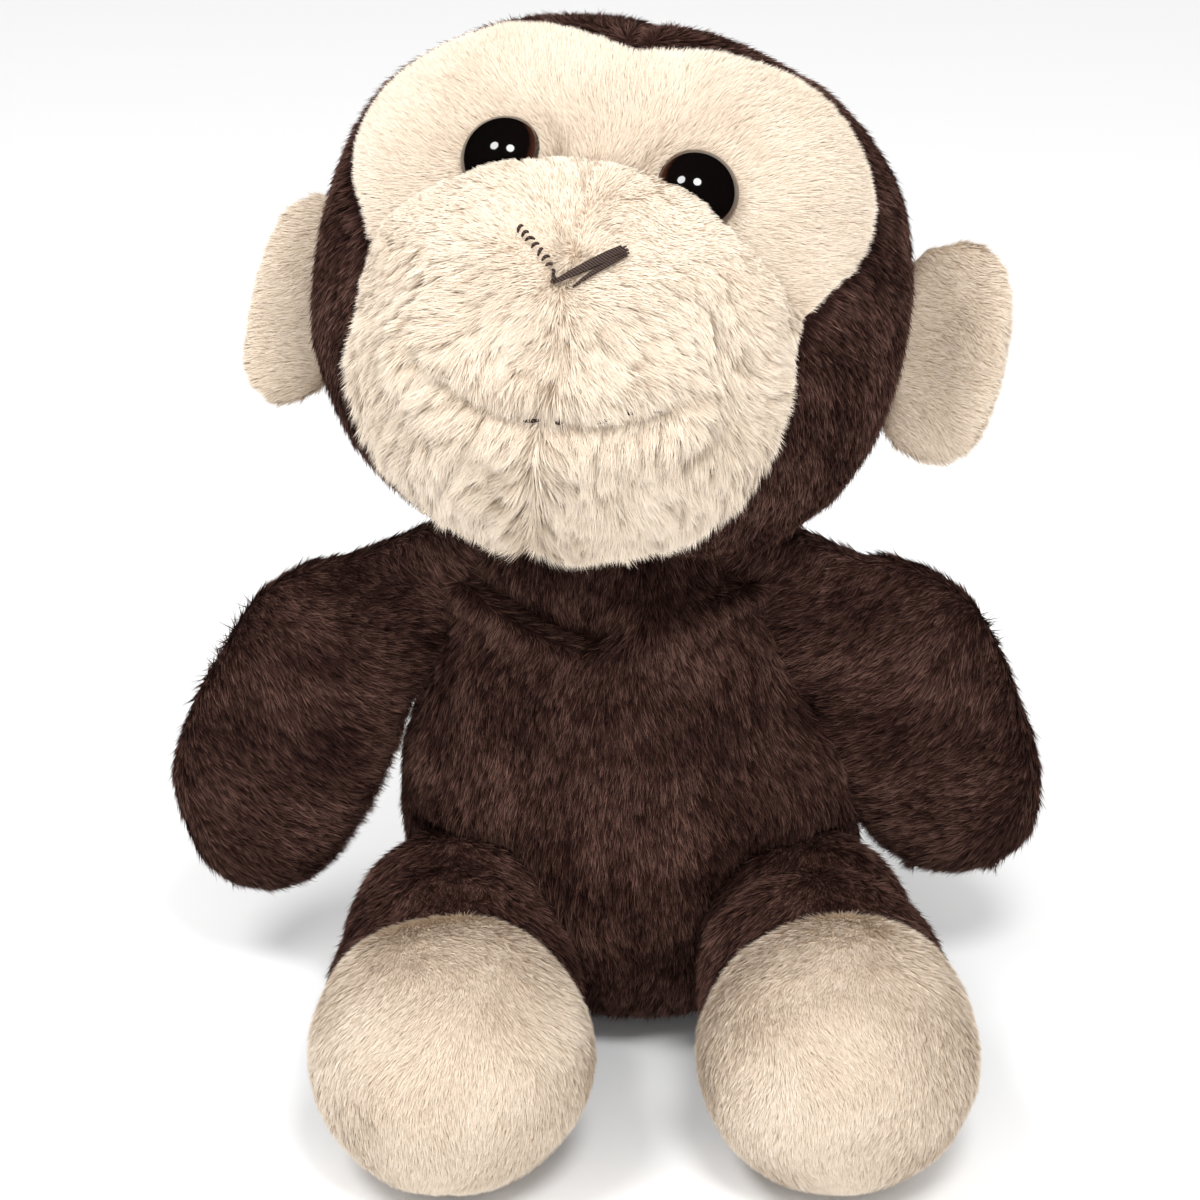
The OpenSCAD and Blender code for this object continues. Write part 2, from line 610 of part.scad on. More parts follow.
module foot_part(side, from, to, across) {
    toe = toward([0, -toe_drop]);
    color(cream_fur) in_leg(side) panel(
        [for (i = [0 : foot_rows]) [for (j = [0 : across])
            unit(between(toe, cuff(from + (to - from) * j / across), i / foot_rows))]],
        function (d) leg_reach(d));
}
module foot_upper_left() { foot_part(LEFT, sole_half - 90, 270 - sole_half, upper_cols); }
module foot_upper_right() { foot_part(RIGHT, sole_half - 90, 270 - sole_half, upper_cols); }
module foot_sole_left() { foot_part(LEFT, -sole_half - 90, sole_half - 90, sole_cols); }
module foot_sole_right() { foot_part(RIGHT, -sole_half - 90, sole_half - 90, sole_cols); }
module leg_stuffing(side) {
    color(wadding) in_leg(side)
        stuffing(rings(cuff_cols, 20, 0, 180), function (d) leg_reach(d) - fabric_t - 5 * nap);
}
module leg_stuffing_left() { leg_stuffing(LEFT); }
module leg_stuffing_right() { leg_stuffing(RIGHT); }
// This ring is wound about the lift axis, at the side of the hip's ball that faces the body.
module hip_thread(side) {
    translate(middle + hip_at(side)) rotate([0, 0, leg_turn(side)]) rotate([0, -side * 90, 0])
        thread_ring(hip_ball_r, 12);
}
module hip_seam_thread_left() { hip_thread(LEFT); }
module hip_seam_thread_right() { hip_thread(RIGHT); }

body_front();
body_back_left();
body_back_right();
seat_panel();
body_stuffing();
pellet_bag();
pellets();
closing_seam_thread();
neck_seam_thread();
neck_stuffing();
hood_left();
hood_right();
brow_panel();
muzzle_left();
muzzle_right();
head_stuffing();
eye_cap_left();
eye_cap_right();
eye_shank_left();
eye_shank_right();
eye_washer_left();
eye_washer_right();
nose_stitching();
mouth_stitching();
ear_front_left();
ear_back_left();
ear_wadding_left();
ear_front_right();
ear_back_right();
ear_wadding_right();
shoulder_seam_thread_left();
arm_front_left();
arm_back_left();
arm_stuffing_left();
shoulder_seam_thread_right();
arm_front_right();
arm_back_right();
arm_stuffing_right();
hip_seam_thread_left();
leg_sleeve_left();
foot_upper_left();
foot_sole_left();
leg_stuffing_left();
hip_seam_thread_right();
leg_sleeve_right();
foot_upper_right();
foot_sole_right();
leg_stuffing_right();
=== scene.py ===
import math

import bmesh
import bpy
import numpy as np
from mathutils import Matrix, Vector, noise
from mathutils.bvhtree import BVHTree


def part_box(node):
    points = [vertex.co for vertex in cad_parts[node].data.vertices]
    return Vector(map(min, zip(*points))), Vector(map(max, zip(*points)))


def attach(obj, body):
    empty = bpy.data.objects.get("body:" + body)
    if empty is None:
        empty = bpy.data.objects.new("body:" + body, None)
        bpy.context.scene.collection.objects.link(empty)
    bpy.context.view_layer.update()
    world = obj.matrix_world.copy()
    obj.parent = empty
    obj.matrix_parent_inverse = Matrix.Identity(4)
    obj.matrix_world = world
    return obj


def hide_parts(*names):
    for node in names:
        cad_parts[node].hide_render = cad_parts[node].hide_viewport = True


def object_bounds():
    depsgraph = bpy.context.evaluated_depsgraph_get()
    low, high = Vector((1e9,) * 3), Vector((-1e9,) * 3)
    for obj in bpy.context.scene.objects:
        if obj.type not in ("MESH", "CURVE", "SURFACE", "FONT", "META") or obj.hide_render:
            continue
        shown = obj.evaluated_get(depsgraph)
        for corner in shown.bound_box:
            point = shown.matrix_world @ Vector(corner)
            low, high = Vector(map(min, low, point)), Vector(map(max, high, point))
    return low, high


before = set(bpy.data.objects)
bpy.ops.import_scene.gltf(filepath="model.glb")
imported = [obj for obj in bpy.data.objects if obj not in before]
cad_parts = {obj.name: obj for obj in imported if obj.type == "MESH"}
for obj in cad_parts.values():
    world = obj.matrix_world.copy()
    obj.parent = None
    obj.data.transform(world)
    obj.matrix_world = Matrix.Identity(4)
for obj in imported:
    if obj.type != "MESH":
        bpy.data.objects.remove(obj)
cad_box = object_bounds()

# ---- Torso: two back sleeves, a belly panel and a flat seat of dark brown plush, stuffed with wadding.
# The panels are sewn inside out, turned, stuffed and closed by hand up the back, so that they bulge
# between their seams. The pile is 3 mm long and lies downward.

MM = 0.001
CLOTH_STEPS = 20
CLOTH_PRESSURE = 4
scene = bpy.context.scene


def coords(mesh, kind="co"):
    """A mesh's vertex places, or with kind "normal" its vertex normals, as rows of numbers."""
    rows = np.zeros(len(mesh.vertices) * 3, np.float32)
    mesh.vertices.foreach_get(kind, rows)
    return rows.reshape(-1, 3).astype(float)


def put(mesh, places):
    """Moves a mesh's vertices to the places given."""
    mesh.vertices.foreach_set("co", places.astype(np.float32).ravel())
    mesh.update()


def settled(ob):
    """Applies an object's modifiers, so that what they make is its own mesh."""
    found = bpy.data.meshes.new_from_object(ob.evaluated_get(bpy.context.evaluated_depsgraph_get()))
    ob.modifiers.clear()
    ob.data = found
    found.name = ob.name
    return ob


def unit(rows):
    """Rows of vectors made one long."""
    return rows / np.maximum(np.linalg.norm(rows, axis=1, keepdims=True), 1e-12)


def store(mesh, name, values):
    """Keeps a number, or a vector, for each vertex under a name."""
    kind = "FLOAT" if values.ndim == 1 else "FLOAT_VECTOR"
    layer = mesh.attributes.get(name) or mesh.attributes.new(name, kind, "POINT")
    layer.data.foreach_set("value" if values.ndim == 1 else "vector", values.astype(np.float32).ravel())


def copied(name, nodes):
    """A new piece from the merged surfaces of some of the CAD's nodes."""
    shape = bmesh.new()
    for node in nodes:
        shape.from_mesh(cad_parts[node].data)
    bmesh.ops.remove_doubles(shape, verts=shape.verts, dist=1e-6)
    mesh = bpy.data.meshes.new(name)
    shape.to_mesh(mesh)
    shape.free()
    ob = bpy.data.objects.new(name, mesh)
    scene.collection.objects.link(ob)
    return ob


def middle_of(node):
    """The middle of a CAD node's box."""
    low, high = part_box(node)
    return np.array((low + high) / 2)


def bump(distance, width):
    """A smooth hump, 1 in the middle and next to nothing at twice its width."""
    return np.exp(-(distance / width) ** 2)


def distances(places, node):
    """How far each place is from a CAD node's surface."""
    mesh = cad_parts[node].data
    tree = BVHTree.FromPolygons([v.co for v in mesh.vertices], [tuple(p.vertices) for p in mesh.polygons])
    return np.array([tree.find_nearest(p)[3] for p in places])


def inside_of(places, panels):
    """For each panel, how far inside its outline each place is, negative past its seams."""
    away = np.array([distances(places, p) for p in panels])
    if len(panels) == 1:
        return {panels[0]: np.full(len(places), 1.0)}
    return {p: np.delete(away, k, 0).min(0) - away[k] for k, p in enumerate(panels)}


def stuffed_form(name, nodes, panels, grain, tuck, swell):
    """The filled form of sewn panels: its surface is remeshed, pulled in by tuck, and blown up by at most
    swell, as cloth held at its seams."""
    ob = copied(name, nodes)
    remesh = ob.modifiers.new("Remesh", "REMESH")
    remesh.mode = "VOXEL"
    remesh.voxel_size = grain
    smooth = ob.modifiers.new("Smooth", "SMOOTH")
    smooth.iterations = 5
    settled(ob)
    biggest(ob.data)
    start = coords(ob.data) - coords(ob.data, "normal") * tuck
    put(ob.data, start)
    share = inside_of(start, panels)
    near = np.min([np.abs(s) for s in share.values()], 0)
    seam = ob.vertex_groups.new(name="seam")
    for k in np.nonzero(near < 0.9 * grain)[0]:
        seam.add([int(k)], 1.0, "REPLACE")
    cloth = ob.modifiers.new("Cloth", "CLOTH")
    cloth.settings.use_pressure = True
    cloth.settings.uniform_pressure_force = CLOTH_PRESSURE
    cloth.settings.quality = 4
    cloth.settings.effector_weights.gravity = 0
    if len(panels) > 1:
        cloth.settings.vertex_group_mass = "seam"
    cloth.point_cache.frame_start = 1
    cloth.point_cache.frame_end = CLOTH_STEPS
    for step in range(1, CLOTH_STEPS + 1):
        scene.frame_set(step)
    blown = coords(ob.evaluated_get(bpy.context.evaluated_depsgraph_get()).data)
    ob.modifiers.clear()
    moved = blown - start
    length = np.linalg.norm(moved, axis=1)
    put(ob.data, start + moved * (np.minimum(length, swell) / np.maximum(length, 1e-9))[:, None])
    scene.frame_set(1)
    ob.vertex_groups.clear()
    finer = ob.modifiers.new("Finer", "SUBSURF")
    finer.levels = finer.render_levels = 1
    settled(ob)
    ob.data.shade_smooth()
    return ob


def biggest(mesh):
    """Leaves only a mesh's largest connected part, and none of the pockets inside it."""
    shape = bmesh.new()
    shape.from_mesh(mesh)
    left, parts = set(shape.verts), []
    while left:
        found, edge = set(), [left.pop()]
        while edge:
            v = edge.pop()
            found.add(v)
            for e in v.link_edges:
                w = e.other_vert(v)
                if w in left:
                    left.discard(w)
                    edge.append(w)
        parts.append(found)
    keep = max(parts, key=len)
    bmesh.ops.delete(shape, geom=[v for v in shape.verts if v not in keep], context="VERTS")
    shape.to_mesh(mesh)
    shape.free()


def grooved(ob, share, depth, width):
    """Draws the surface in along the seams, where two panels meet."""
    places, out = coords(ob.data), coords(ob.data, "normal")
    near = np.min([np.abs(s) for s in share.values()], 0)
    put(ob.data, places - out * (depth * np.clip(1 - near / width, 0, 1) ** 2)[:, None])


def lumpy(ob, depth, size, seed):
    """Presses the uneven lumps of hand stuffing into a surface."""
    places, out = coords(ob.data), coords(ob.data, "normal")
    push = np.array([noise.fractal(Vector(p) / size + Vector((seed, 0, 0)), 1.0, 2.0, 2) for p in places])
    put(ob.data, places + out * (depth * push)[:, None])


def fuller(ob, more):
    """Fills a form out, but no lower than the table."""
    places, out = coords(ob.data), coords(ob.data, "normal")
    raised = places + out * more
    raised[:, 2] = np.maximum(raised[:, 2], np.minimum(places[:, 2], 0.3 * MM))
    put(ob.data, raised)


def along(rows, out):
    """What of some directions lies in the surface, one long."""
    rows = np.broadcast_to(np.asarray(rows, float), out.shape)
    return unit(rows - out * (rows * out).sum(1, keepdims=True))


def wandering(comb, out, places, size, turn, seed):
    """A pile's direction turned a little this way and that, as handling leaves it."""
    angle = np.array([noise.noise(Vector(p) / size + Vector((0, seed, 0))) for p in places]) * turn
    across = np.cross(out, comb)
    return unit(comb * np.cos(angle)[:, None] + across * np.sin(angle)[:, None])


class Wire:
    """A socket in a node tree. Sums and products of wires add the Math or Vector Math nodes they need."""

    def __init__(self, board, socket):
        self.board, self.socket = board, socket
        self.vector = socket.type in ("VECTOR", "RGBA")

    def _join(self, operation, a, b):
        vector = any(isinstance(x, Wire) and x.vector for x in (a, b))
        if vector and operation == "MULTIPLY" and not (isinstance(b, Wire) and b.vector):
            return self.board.add("ShaderNodeVectorMath", {"operation": "SCALE"}, {0: a, "Scale": b})
        kind = "ShaderNodeVectorMath" if vector else "ShaderNodeMath"
        return self.board.add(kind, {"operation": operation}, {0: a, 1: b})

    def __add__(self, other):
        return self._join("ADD", self, other)

    def __sub__(self, other):
        return self._join("SUBTRACT", self, other)

    def __rsub__(self, other):
        return self._join("SUBTRACT", other, self)

    def __mul__(self, other):
        return self._join("MULTIPLY", self, other)

    def __truediv__(self, other):
        return self._join("DIVIDE", self, other)

    def __rtruediv__(self, other):
        return self._join("DIVIDE", other, self)

    def __pow__(self, other):
        return self._join("POWER", self, other)

    def __lt__(self, other):
        return self._join("LESS_THAN", self, other)

    def __gt__(self, other):
        return self._join("GREATER_THAN", self, other)


class Board:
    """A node tree to which nodes are added by type, settings and sockets."""

    def __init__(self, tree):
        self.tree = tree

    def add(self, kind, settings=None, sockets=None, out=0):
        node = self.tree.nodes.new(kind)
        for key, value in (settings or {}).items():
            if key == "stops":
                ramp = node.color_ramp.elements
                while len(ramp) < len(value):
                    ramp.new(0.5)
                for stop, (place, colour) in zip(ramp, value):
                    stop.position = place
                    stop.color = (*colour, 1)
            else:
                setattr(node, key, value)
        for key, value in (sockets or {}).items():
            if isinstance(value, Wire):
                self.tree.links.new(value.socket, node.inputs[key])
            else:
                node.inputs[key].default_value = value
        if not len(node.outputs):
            return node
        return Wire(self, node.outputs[out])

    def other(self, wire, out):
        return Wire(self, wire.socket.node.outputs[out])

    def named(self, name, kind="FLOAT"):
        return self.add("GeometryNodeInputNamedAttribute", {"data_type": kind}, {"Name": name})


def blade_of_pile(board, bend, leaf):
    """One hair of pile, one unit long, that tapers to a point: a single face where the pile is short, or a
    leaf of three faces that bends over where it is long."""
    if leaf:
        blade = board.add("GeometryNodeMeshGrid", None,
                          {"Size X": 1.0, "Size Y": 1.0, "Vertices X": 2, "Vertices Y": 3})
        split = board.add("ShaderNodeSeparateXYZ", None, {0: board.add("GeometryNodeInputPosition")})
        up = board.other(split, 1) + 0.5
        side = split * -1 * (1 - up ** 2.5)
    else:
        blade = board.add("GeometryNodeMeshCircle", {"fill_type": "NGON"}, {"Vertices": 3})
        index = board.add("GeometryNodeInputIndex")
        up = index > 1.5
        side = (0.5 - index) * (1 - up)
    shaped = board.add("ShaderNodeCombineXYZ", None, {"X": up ** 2 * bend, "Y": side, "Z": up})
    blade = board.add("GeometryNodeStoreNamedAttribute", {"data_type": "FLOAT", "domain": "POINT"},
                      {"Geometry": blade, "Name": "tip", "Value": up})
    blade = board.add("GeometryNodeStoreNamedAttribute", {"data_type": "FLOAT", "domain": "POINT"},
                      {"Geometry": blade, "Name": "side", "Value": side + 0.5})
    blade = board.add("GeometryNodeSetPosition", None, {"Geometry": blade, "Position": shaped})
    return board.add("GeometryNodeMergeByDistance", None, {"Geometry": blade, "Distance": 1e-4})


def pile_tree(leaf):
    """The nodes that stand a pile on a surface: scattered roots, and combed and clumped hairs, each with its
    own length and tone, and its own place in the map that a bake is made through. The hairs are shaded as a
    soft mass, by normals that follow the surface and each tuft."""
    tree = bpy.data.node_groups.new("long_pile" if leaf else "short_pile", "GeometryNodeTree")
    tree.interface.new_socket("Geometry", in_out="INPUT", socket_type="NodeSocketGeometry")
    for name in ("Density", "Length", "Width", "Lay", "Clump size", "Clump pull", "Tuft", "Stray", "Bend",
                 "Ruffle"):
        tree.interface.new_socket(name, in_out="INPUT", socket_type="NodeSocketFloat")
    tree.interface.new_socket("Seed", in_out="INPUT", socket_type="NodeSocketInt")
    tree.interface.new_socket("Material", in_out="INPUT", socket_type="NodeSocketMaterial")
    tree.interface.new_socket("Geometry", in_out="OUTPUT", socket_type="NodeSocketGeometry")
    board = Board(tree)
    given = tree.nodes.new("NodeGroupInput")
    value = {s.name: Wire(board, s) for s in given.outputs if s.name}
    roots = board.add("GeometryNodeDistributePointsOnFaces", {"distribute_method": "RANDOM"},
                      {"Mesh": value["Geometry"], "Density": value["Density"], "Seed": value["Seed"]})
    upright = board.other(roots, 1)
    roots = board.add("GeometryNodeStoreNamedAttribute", {"data_type": "FLOAT_VECTOR", "domain": "POINT"},
                      {"Geometry": roots, "Name": "upright", "Value": upright})
    bare = board.named("share") < 0
    roots = board.add("GeometryNodeDeleteGeometry", {"domain": "POINT"},
                      {"Geometry": roots, "Selection": bare})
    index = board.add("GeometryNodeInputIndex")
    roots = board.add("GeometryNodeStoreNamedAttribute", {"data_type": "FLOAT", "domain": "POINT"},
                      {"Geometry": roots, "Name": "blade", "Value": index})

    def chance(low, high, offset, kind="FLOAT"):
        at_low, at_high, out = (0, 1, 0) if kind == "FLOAT_VECTOR" else (2, 3, 1)
        return board.add("FunctionNodeRandomValue", {"data_type": kind},
                         {at_low: low, at_high: high, "Seed": value["Seed"] + float(offset)}, out)

    upright = board.named("upright", "FLOAT_VECTOR")
    comb = board.named("comb", "FLOAT_VECTOR")
    place = board.add("GeometryNodeInputPosition")
    tone = chance(0.0, 1.0, 11)
    roots = board.add("GeometryNodeStoreNamedAttribute", {"data_type": "FLOAT", "domain": "POINT"},
                      {"Geometry": roots, "Name": "tone", "Value": tone})
    cell = board.add("ShaderNodeTexVoronoi", {"feature": "F1"},
                     {"Vector": place, "Scale": 1 / value["Clump size"]})
    centre = board.other(cell, 2)
    own = board.other(cell, 1)
    tall = value["Length"] * board.named("long") * chance(0.72, 1.12, 23)
    stray = chance((-1, -1, -1), (1, 1, 1), 37, "FLOAT_VECTOR")
    lean = upright * (1 - value["Lay"]) + comb * value["Lay"] + stray * value["Stray"]
    lean = lean + (own - Vector((0.5, 0.5, 0.5))) * (value["Stray"] * 1.2)
    lean = board.add("ShaderNodeVectorMath", {"operation": "NORMALIZE"}, {0: lean})
    length_here = board.named("long")
    reach = lean * tall + (centre - place) * (value["Clump pull"] * length_here)
    run = board.add("ShaderNodeVectorMath", {"operation": "LENGTH"}, {0: reach}, 1)
    tuft = (place - centre) * (value["Tuft"] * length_here / value["Clump size"])
    roots = board.add("GeometryNodeStoreNamedAttribute", {"data_type": "FLOAT_VECTOR", "domain": "POINT"},
                      {"Geometry": roots, "Name": "soft", "Value": upright + tuft + stray * value["Ruffle"]})
    flat = comb + stray * 0.4
    turn = board.add("FunctionNodeAxesToRotation", {"primary_axis": "Z", "secondary_axis": "X"},
                     {"Primary Axis": reach, "Secondary Axis": flat})
    wide = value["Width"] * chance(0.7, 1.3, 41)
    size = board.add("ShaderNodeCombineXYZ", None, {"X": run, "Y": wide, "Z": run})
    blade = blade_of_pile(board, value["Bend"], leaf)
    hairs = board.add("GeometryNodeInstanceOnPoints", None,
                      {"Points": roots, "Instance": blade, "Rotation": turn, "Scale": size})
    count = board.add("GeometryNodeAttributeDomainSize", {"component": "POINTCLOUD"}, {"Geometry": roots})
    hairs = board.add("GeometryNodeRealizeInstances", None, {"Geometry": hairs})
    row = board.add("ShaderNodeMath", {"operation": "CEIL"}, {0: count ** 0.5})
    blade = board.named("blade")
    line = board.add("ShaderNodeMath", {"operation": "FLOOR"}, {0: (blade + 0.5) / row})
    along_u = (blade - line * row + 0.15 + board.named("side") * 0.7) / row
    along_v = (line + 0.15 + board.named("tip") * 0.7) / row
    map_place = board.add("ShaderNodeCombineXYZ", None, {"X": along_u, "Y": along_v, "Z": 0.0})
    hairs = board.add("GeometryNodeStoreNamedAttribute", {"data_type": "FLOAT2", "domain": "CORNER"},
                      {"Geometry": hairs, "Name": "OFBake", "Value": map_place})
    soft = board.named("soft", "FLOAT_VECTOR")
    mass = board.add("ShaderNodeVectorMath", {"operation": "NORMALIZE"}, {0: soft})
    hairs = board.add("GeometryNodeSetMeshNormal", {"mode": "FREE", "domain": "POINT"},
                      {"Mesh": hairs, "Custom Normal": mass})
    for name in ("comb", "share", "long", "blade", "side", "upright", "soft", "face"):
        hairs = board.add("GeometryNodeRemoveAttribute", None, {"Geometry": hairs, "Name": name})
    hairs = board.add("GeometryNodeSetMaterial", None, {"Geometry": hairs, "Material": value["Material"]})
    board.add("NodeGroupOutput", None, {"Geometry": hairs})
    return tree


PILES = {False: pile_tree(False), True: pile_tree(True)}
HAIRS_PER_SQUARE_METRE = 11e6
MOST_FACES = 190000
PAST_SEAM = -2 * MM


def pile(name, skin, share, comb, long, material, seed, density=1.0, length=3 * MM, width=0.22 * MM, lay=0.7,
         clump=1.6 * MM, pull=0.4, stray=0.1, bend=0.25, tuft=0.5, ruffle=0.2, leaf=False):
    """The pile of one panel: hairs that stand where share is above 0, combed along comb, and long times as
    long as the plush's own pile. A denser pile has finer hairs, and none has more faces than the most."""
    ground = skin.data.copy()
    store(ground, "share", share)
    store(ground, "comb", comb)
    store(ground, "long", long)
    drop = bmesh.new()
    drop.from_mesh(ground)
    layer = drop.verts.layers.float["share"]
    bmesh.ops.delete(drop, geom=[v for v in drop.verts if v[layer] < PAST_SEAM], context="VERTS")
    area = sum(f.calc_area() for f in drop.faces)
    drop.to_mesh(ground)
    drop.free()
    ob = bpy.data.objects.new(name, ground)
    scene.collection.objects.link(ob)
    nodes = ob.modifiers.new("Pile", "NODES")
    nodes.node_group = PILES[leaf]
    each = 3 if leaf else 1
    wanted = {"Density": min(HAIRS_PER_SQUARE_METRE * density, MOST_FACES / each / area), "Length": length,
              "Width": width / density ** 0.5, "Lay": lay, "Clump size": clump, "Clump pull": pull,
              "Tuft": tuft, "Stray": stray, "Bend": bend, "Ruffle": ruffle, "Seed": seed,
              "Material": material}
    for item in nodes.node_group.interface.items_tree:
        if item.in_out == "INPUT" and item.name in wanted:
            nodes[item.identifier] = wanted[item.name]
    settled(ob)
    return ob


def plush(name, root, middle, tip, patch_size, mottle, gloss, backing=False):
    """Plush seen from its pile: dark at the root, painted shade where the hairs shade one another, and lighter
    at the tip, a painted highlight where light grazes them; each hair with a tone of its own, and patches
    where the pile has been pressed. With backing, the woven ground under the pile, kept near the root's
    dark colour as painted shade under the hairs."""
    made = bpy.data.materials.new(name)
    made.use_nodes = True
    made.node_tree.nodes.clear()
    board = Board(made.node_tree)
    spot = board.add("ShaderNodeTexCoord", None, None, 3)
    patch = board.add("ShaderNodeTexNoise", None, {"Vector": spot, "Scale": 1 / patch_size, "Detail": 2.5}, 0)
    if backing:
        tone = board.add("ShaderNodeTexNoise", None, {"Vector": spot, "Scale": 2000.0, "Detail": 1.0}, 0)
        rise = tone * 0.5
    else:
        rise = board.add("ShaderNodeAttribute", {"attribute_name": "tip"}, None, 2)
        tone = board.add("ShaderNodeAttribute", {"attribute_name": "tone"}, None, 2)
    # The level runs from the root's painted shade up to the tip's painted highlight; for the backing it stays
    # low, near the root, as painted shade under the pile.
    level = rise * 0.6 + (tone - 0.5) * (0.6 * mottle) + (patch - 0.5) * mottle + 0.1
    stops = [(0.05, root), (0.45, middle), (0.95, tip)]
    colour = board.add("ShaderNodeValToRGB", {"stops": stops}, {0: level})
    shader = board.add("ShaderNodeBsdfPrincipled", None, {
        "Base Color": colour, "Roughness": 0.65, "Specular IOR Level": gloss, "Sheen Weight": gloss,
        "Sheen Roughness": 0.4, "Sheen Tint": (*tip, 1)})
    board.add("ShaderNodeOutputMaterial", None, {"Surface": shader})
    return made


# A plush's colours at the root, the middle and the tip of its hairs: the dark root is painted shade among the
# hairs and the light tip a painted highlight. The backings use them too, near the root's painted shade.
BROWN = [(0.0085, 0.0032, 0.0025), (0.048, 0.0205, 0.0160), (0.215, 0.118, 0.090)]
CREAM = [(0.50, 0.38, 0.27), (0.76, 0.65, 0.525), (0.88, 0.795, 0.69)]
brown_pile = plush("brown_pile", *BROWN, 12 * MM, 0.8, 0.06)
brown_backing = plush("brown_backing", *BROWN, 12 * MM, 0.4, 0.04, backing=True)
cream_pile = plush("cream_pile", *CREAM, 15 * MM, 0.6, 0.1)
cream_backing = plush("cream_backing", *CREAM, 15 * MM, 0.4, 0.04, backing=True)

torso_panels = ["body_front", "body_back_left", "body_back_right", "seat_panel"]
torso = stuffed_form("torso_form", torso_panels + ["body_stuffing", "neck_stuffing"], torso_panels, 2 * MM,
                     0.8 * MM, 1.0 * MM)
torso_share = inside_of(coords(torso.data), torso_panels)
grooved(torso, torso_share, 0.9 * MM, 2.2 * MM)
lumpy(torso, 1.2 * MM, 22 * MM, 3.1)
fuller(torso, 1.0 * MM)
places = coords(torso.data)
from_neck = places - middle_of("neck_stuffing")
sideways = from_neck * (1, 1, 0)
collar = bump(from_neck[:, 2] + 6 * MM, 8 * MM) * (np.linalg.norm(sideways, axis=1) < 26 * MM)
yoke = bump(np.abs(from_neck[:, 0]) - 20 * MM, 10 * MM) * bump(from_neck[:, 2] + 15 * MM, 9 * MM)
wider_collar, higher_yoke = 5 * MM, 6 * MM
put(torso.data, places + unit(sideways) * (wider_collar * collar)[:, None]
    + np.outer(higher_yoke * yoke, (0, 0, 1)))
torso.data.materials.append(brown_backing)
places, out = coords(torso.data), coords(torso.data, "normal")
down = wandering(along((0, 0, -1), out), out, places, 16 * MM, 0.7, 5)
on_table = np.clip((places[:, 2] - 0.6 * MM) / (3.0 * MM), 0, 1)
for k, panel in enumerate(torso_panels[:3]):
    share = np.where(on_table > 0.02, torso_share[panel], -1.0)
    part = pile(panel + "_pile", torso, share, down, 0.35 + 0.65 * on_table, brown_pile, 10 + k, 1.3,
                2.6 * MM, lay=0.74)
    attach(part, "body")
    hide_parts(panel)
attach(torso, "body")
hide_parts("body_stuffing", "seat_panel")

# ---- Thread: dark brown, of twisted strands. It closes the back by hand and is wound round the neck, the
# shoulders and the hips, where the plush of both sides lies over it.


def thread_finish():
    made = bpy.data.materials.new("sewing_thread")
    made.use_nodes = True
    made.node_tree.nodes.clear()
    board = Board(made.node_tree)
    spot = board.add("ShaderNodeTexCoord", None, None, 3)
    ply = board.add("ShaderNodeTexWave", {"wave_type": "BANDS", "bands_direction": "DIAGONAL"},
                    {"Vector": spot, "Scale": 900.0, "Distortion": 2.0, "Detail": 1.0}, 1)
    fuzz = board.add("ShaderNodeTexNoise", None, {"Vector": spot, "Scale": 4000.0, "Detail": 2.0}, 0)
    # The ply bands paint shade into the grooves between the twisted strands and light on their crowns; the
    # fuzz adds a random tone.
    ply_light_and_shade = [(0.1, (0.012, 0.006, 0.005)), (0.6, (0.045, 0.026, 0.021)), (1.0, (0.12, 0.078, 0.062))]
    colour = board.add("ShaderNodeValToRGB", {"stops": ply_light_and_shade}, {0: ply * 0.7 + fuzz * 0.3})
    relief = board.add("ShaderNodeBump", None,
                       {"Strength": 0.5, "Distance": 0.1 * MM, "Height": ply + fuzz * 0.4})
    shader = board.add("ShaderNodeBsdfPrincipled", None,
                       {"Base Color": colour, "Roughness": 0.62, "Specular IOR Level": 0.25,
                        "Normal": relief})
    board.add("ShaderNodeOutputMaterial", None, {"Surface": shader})
    return made


thread = thread_finish()


def finished(node, material):
    """Gives a CAD node whose shape is right its finish."""
    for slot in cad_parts[node].material_slots:
        slot.material = material


finished("closing_seam_thread", thread)
finished("neck_seam_thread", thread)
for side in ("left", "right"):
    finished("shoulder_seam_thread_" + side, thread)
    finished("hip_seam_thread_" + side, thread)

# ---- Seat pouch: a bag of plain cotton cloth, sewn shut on a weight of plastic granules, so that the toy
# sits by itself. It lies in the filling, over the seat panel.


def pouch_cloth():
    made = bpy.data.materials.new("cotton_cloth")
    made.use_nodes = True
    made.node_tree.nodes.clear()
    board = Board(made.node_tree)
    spot = board.add("ShaderNodeTexCoord", None, None, 3)
    warp = board.add("ShaderNodeTexWave", {"bands_direction": "X"}, {"Vector": spot, "Scale": 600.0}, 1)
    weft = board.add("ShaderNodeTexWave", {"bands_direction": "Y"}, {"Vector": spot, "Scale": 600.0}, 1)
    slub = board.add("ShaderNodeTexNoise", None, {"Vector": spot, "Scale": 300.0, "Detail": 3.0}, 0)
    weave = warp * 0.5 + weft * 0.5
    undyed = [(0.1, (0.52, 0.49, 0.43)), (0.9, (0.83, 0.81, 0.76))]
    colour = board.add("ShaderNodeValToRGB", {"stops": undyed}, {0: weave * 0.6 + slub * 0.4})
    relief = board.add("ShaderNodeBump", None, {"Strength": 0.6, "Distance": 0.15 * MM, "Height": weave})
    shader = board.add("ShaderNodeBsdfPrincipled", None,
                       {"Base Color": colour, "Roughness": 0.85, "Specular IOR Level": 0.2, "Normal": relief})
    board.add("ShaderNodeOutputMaterial", None, {"Surface": shader})
    return made


pouch = stuffed_form("pouch_form", ["pellet_bag"], ["pellet_bag"], 1.5 * MM, 0.4 * MM, 0.3 * MM)
pouch.data.materials.append(pouch_cloth())
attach(pouch, "body")
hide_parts("pellet_bag")


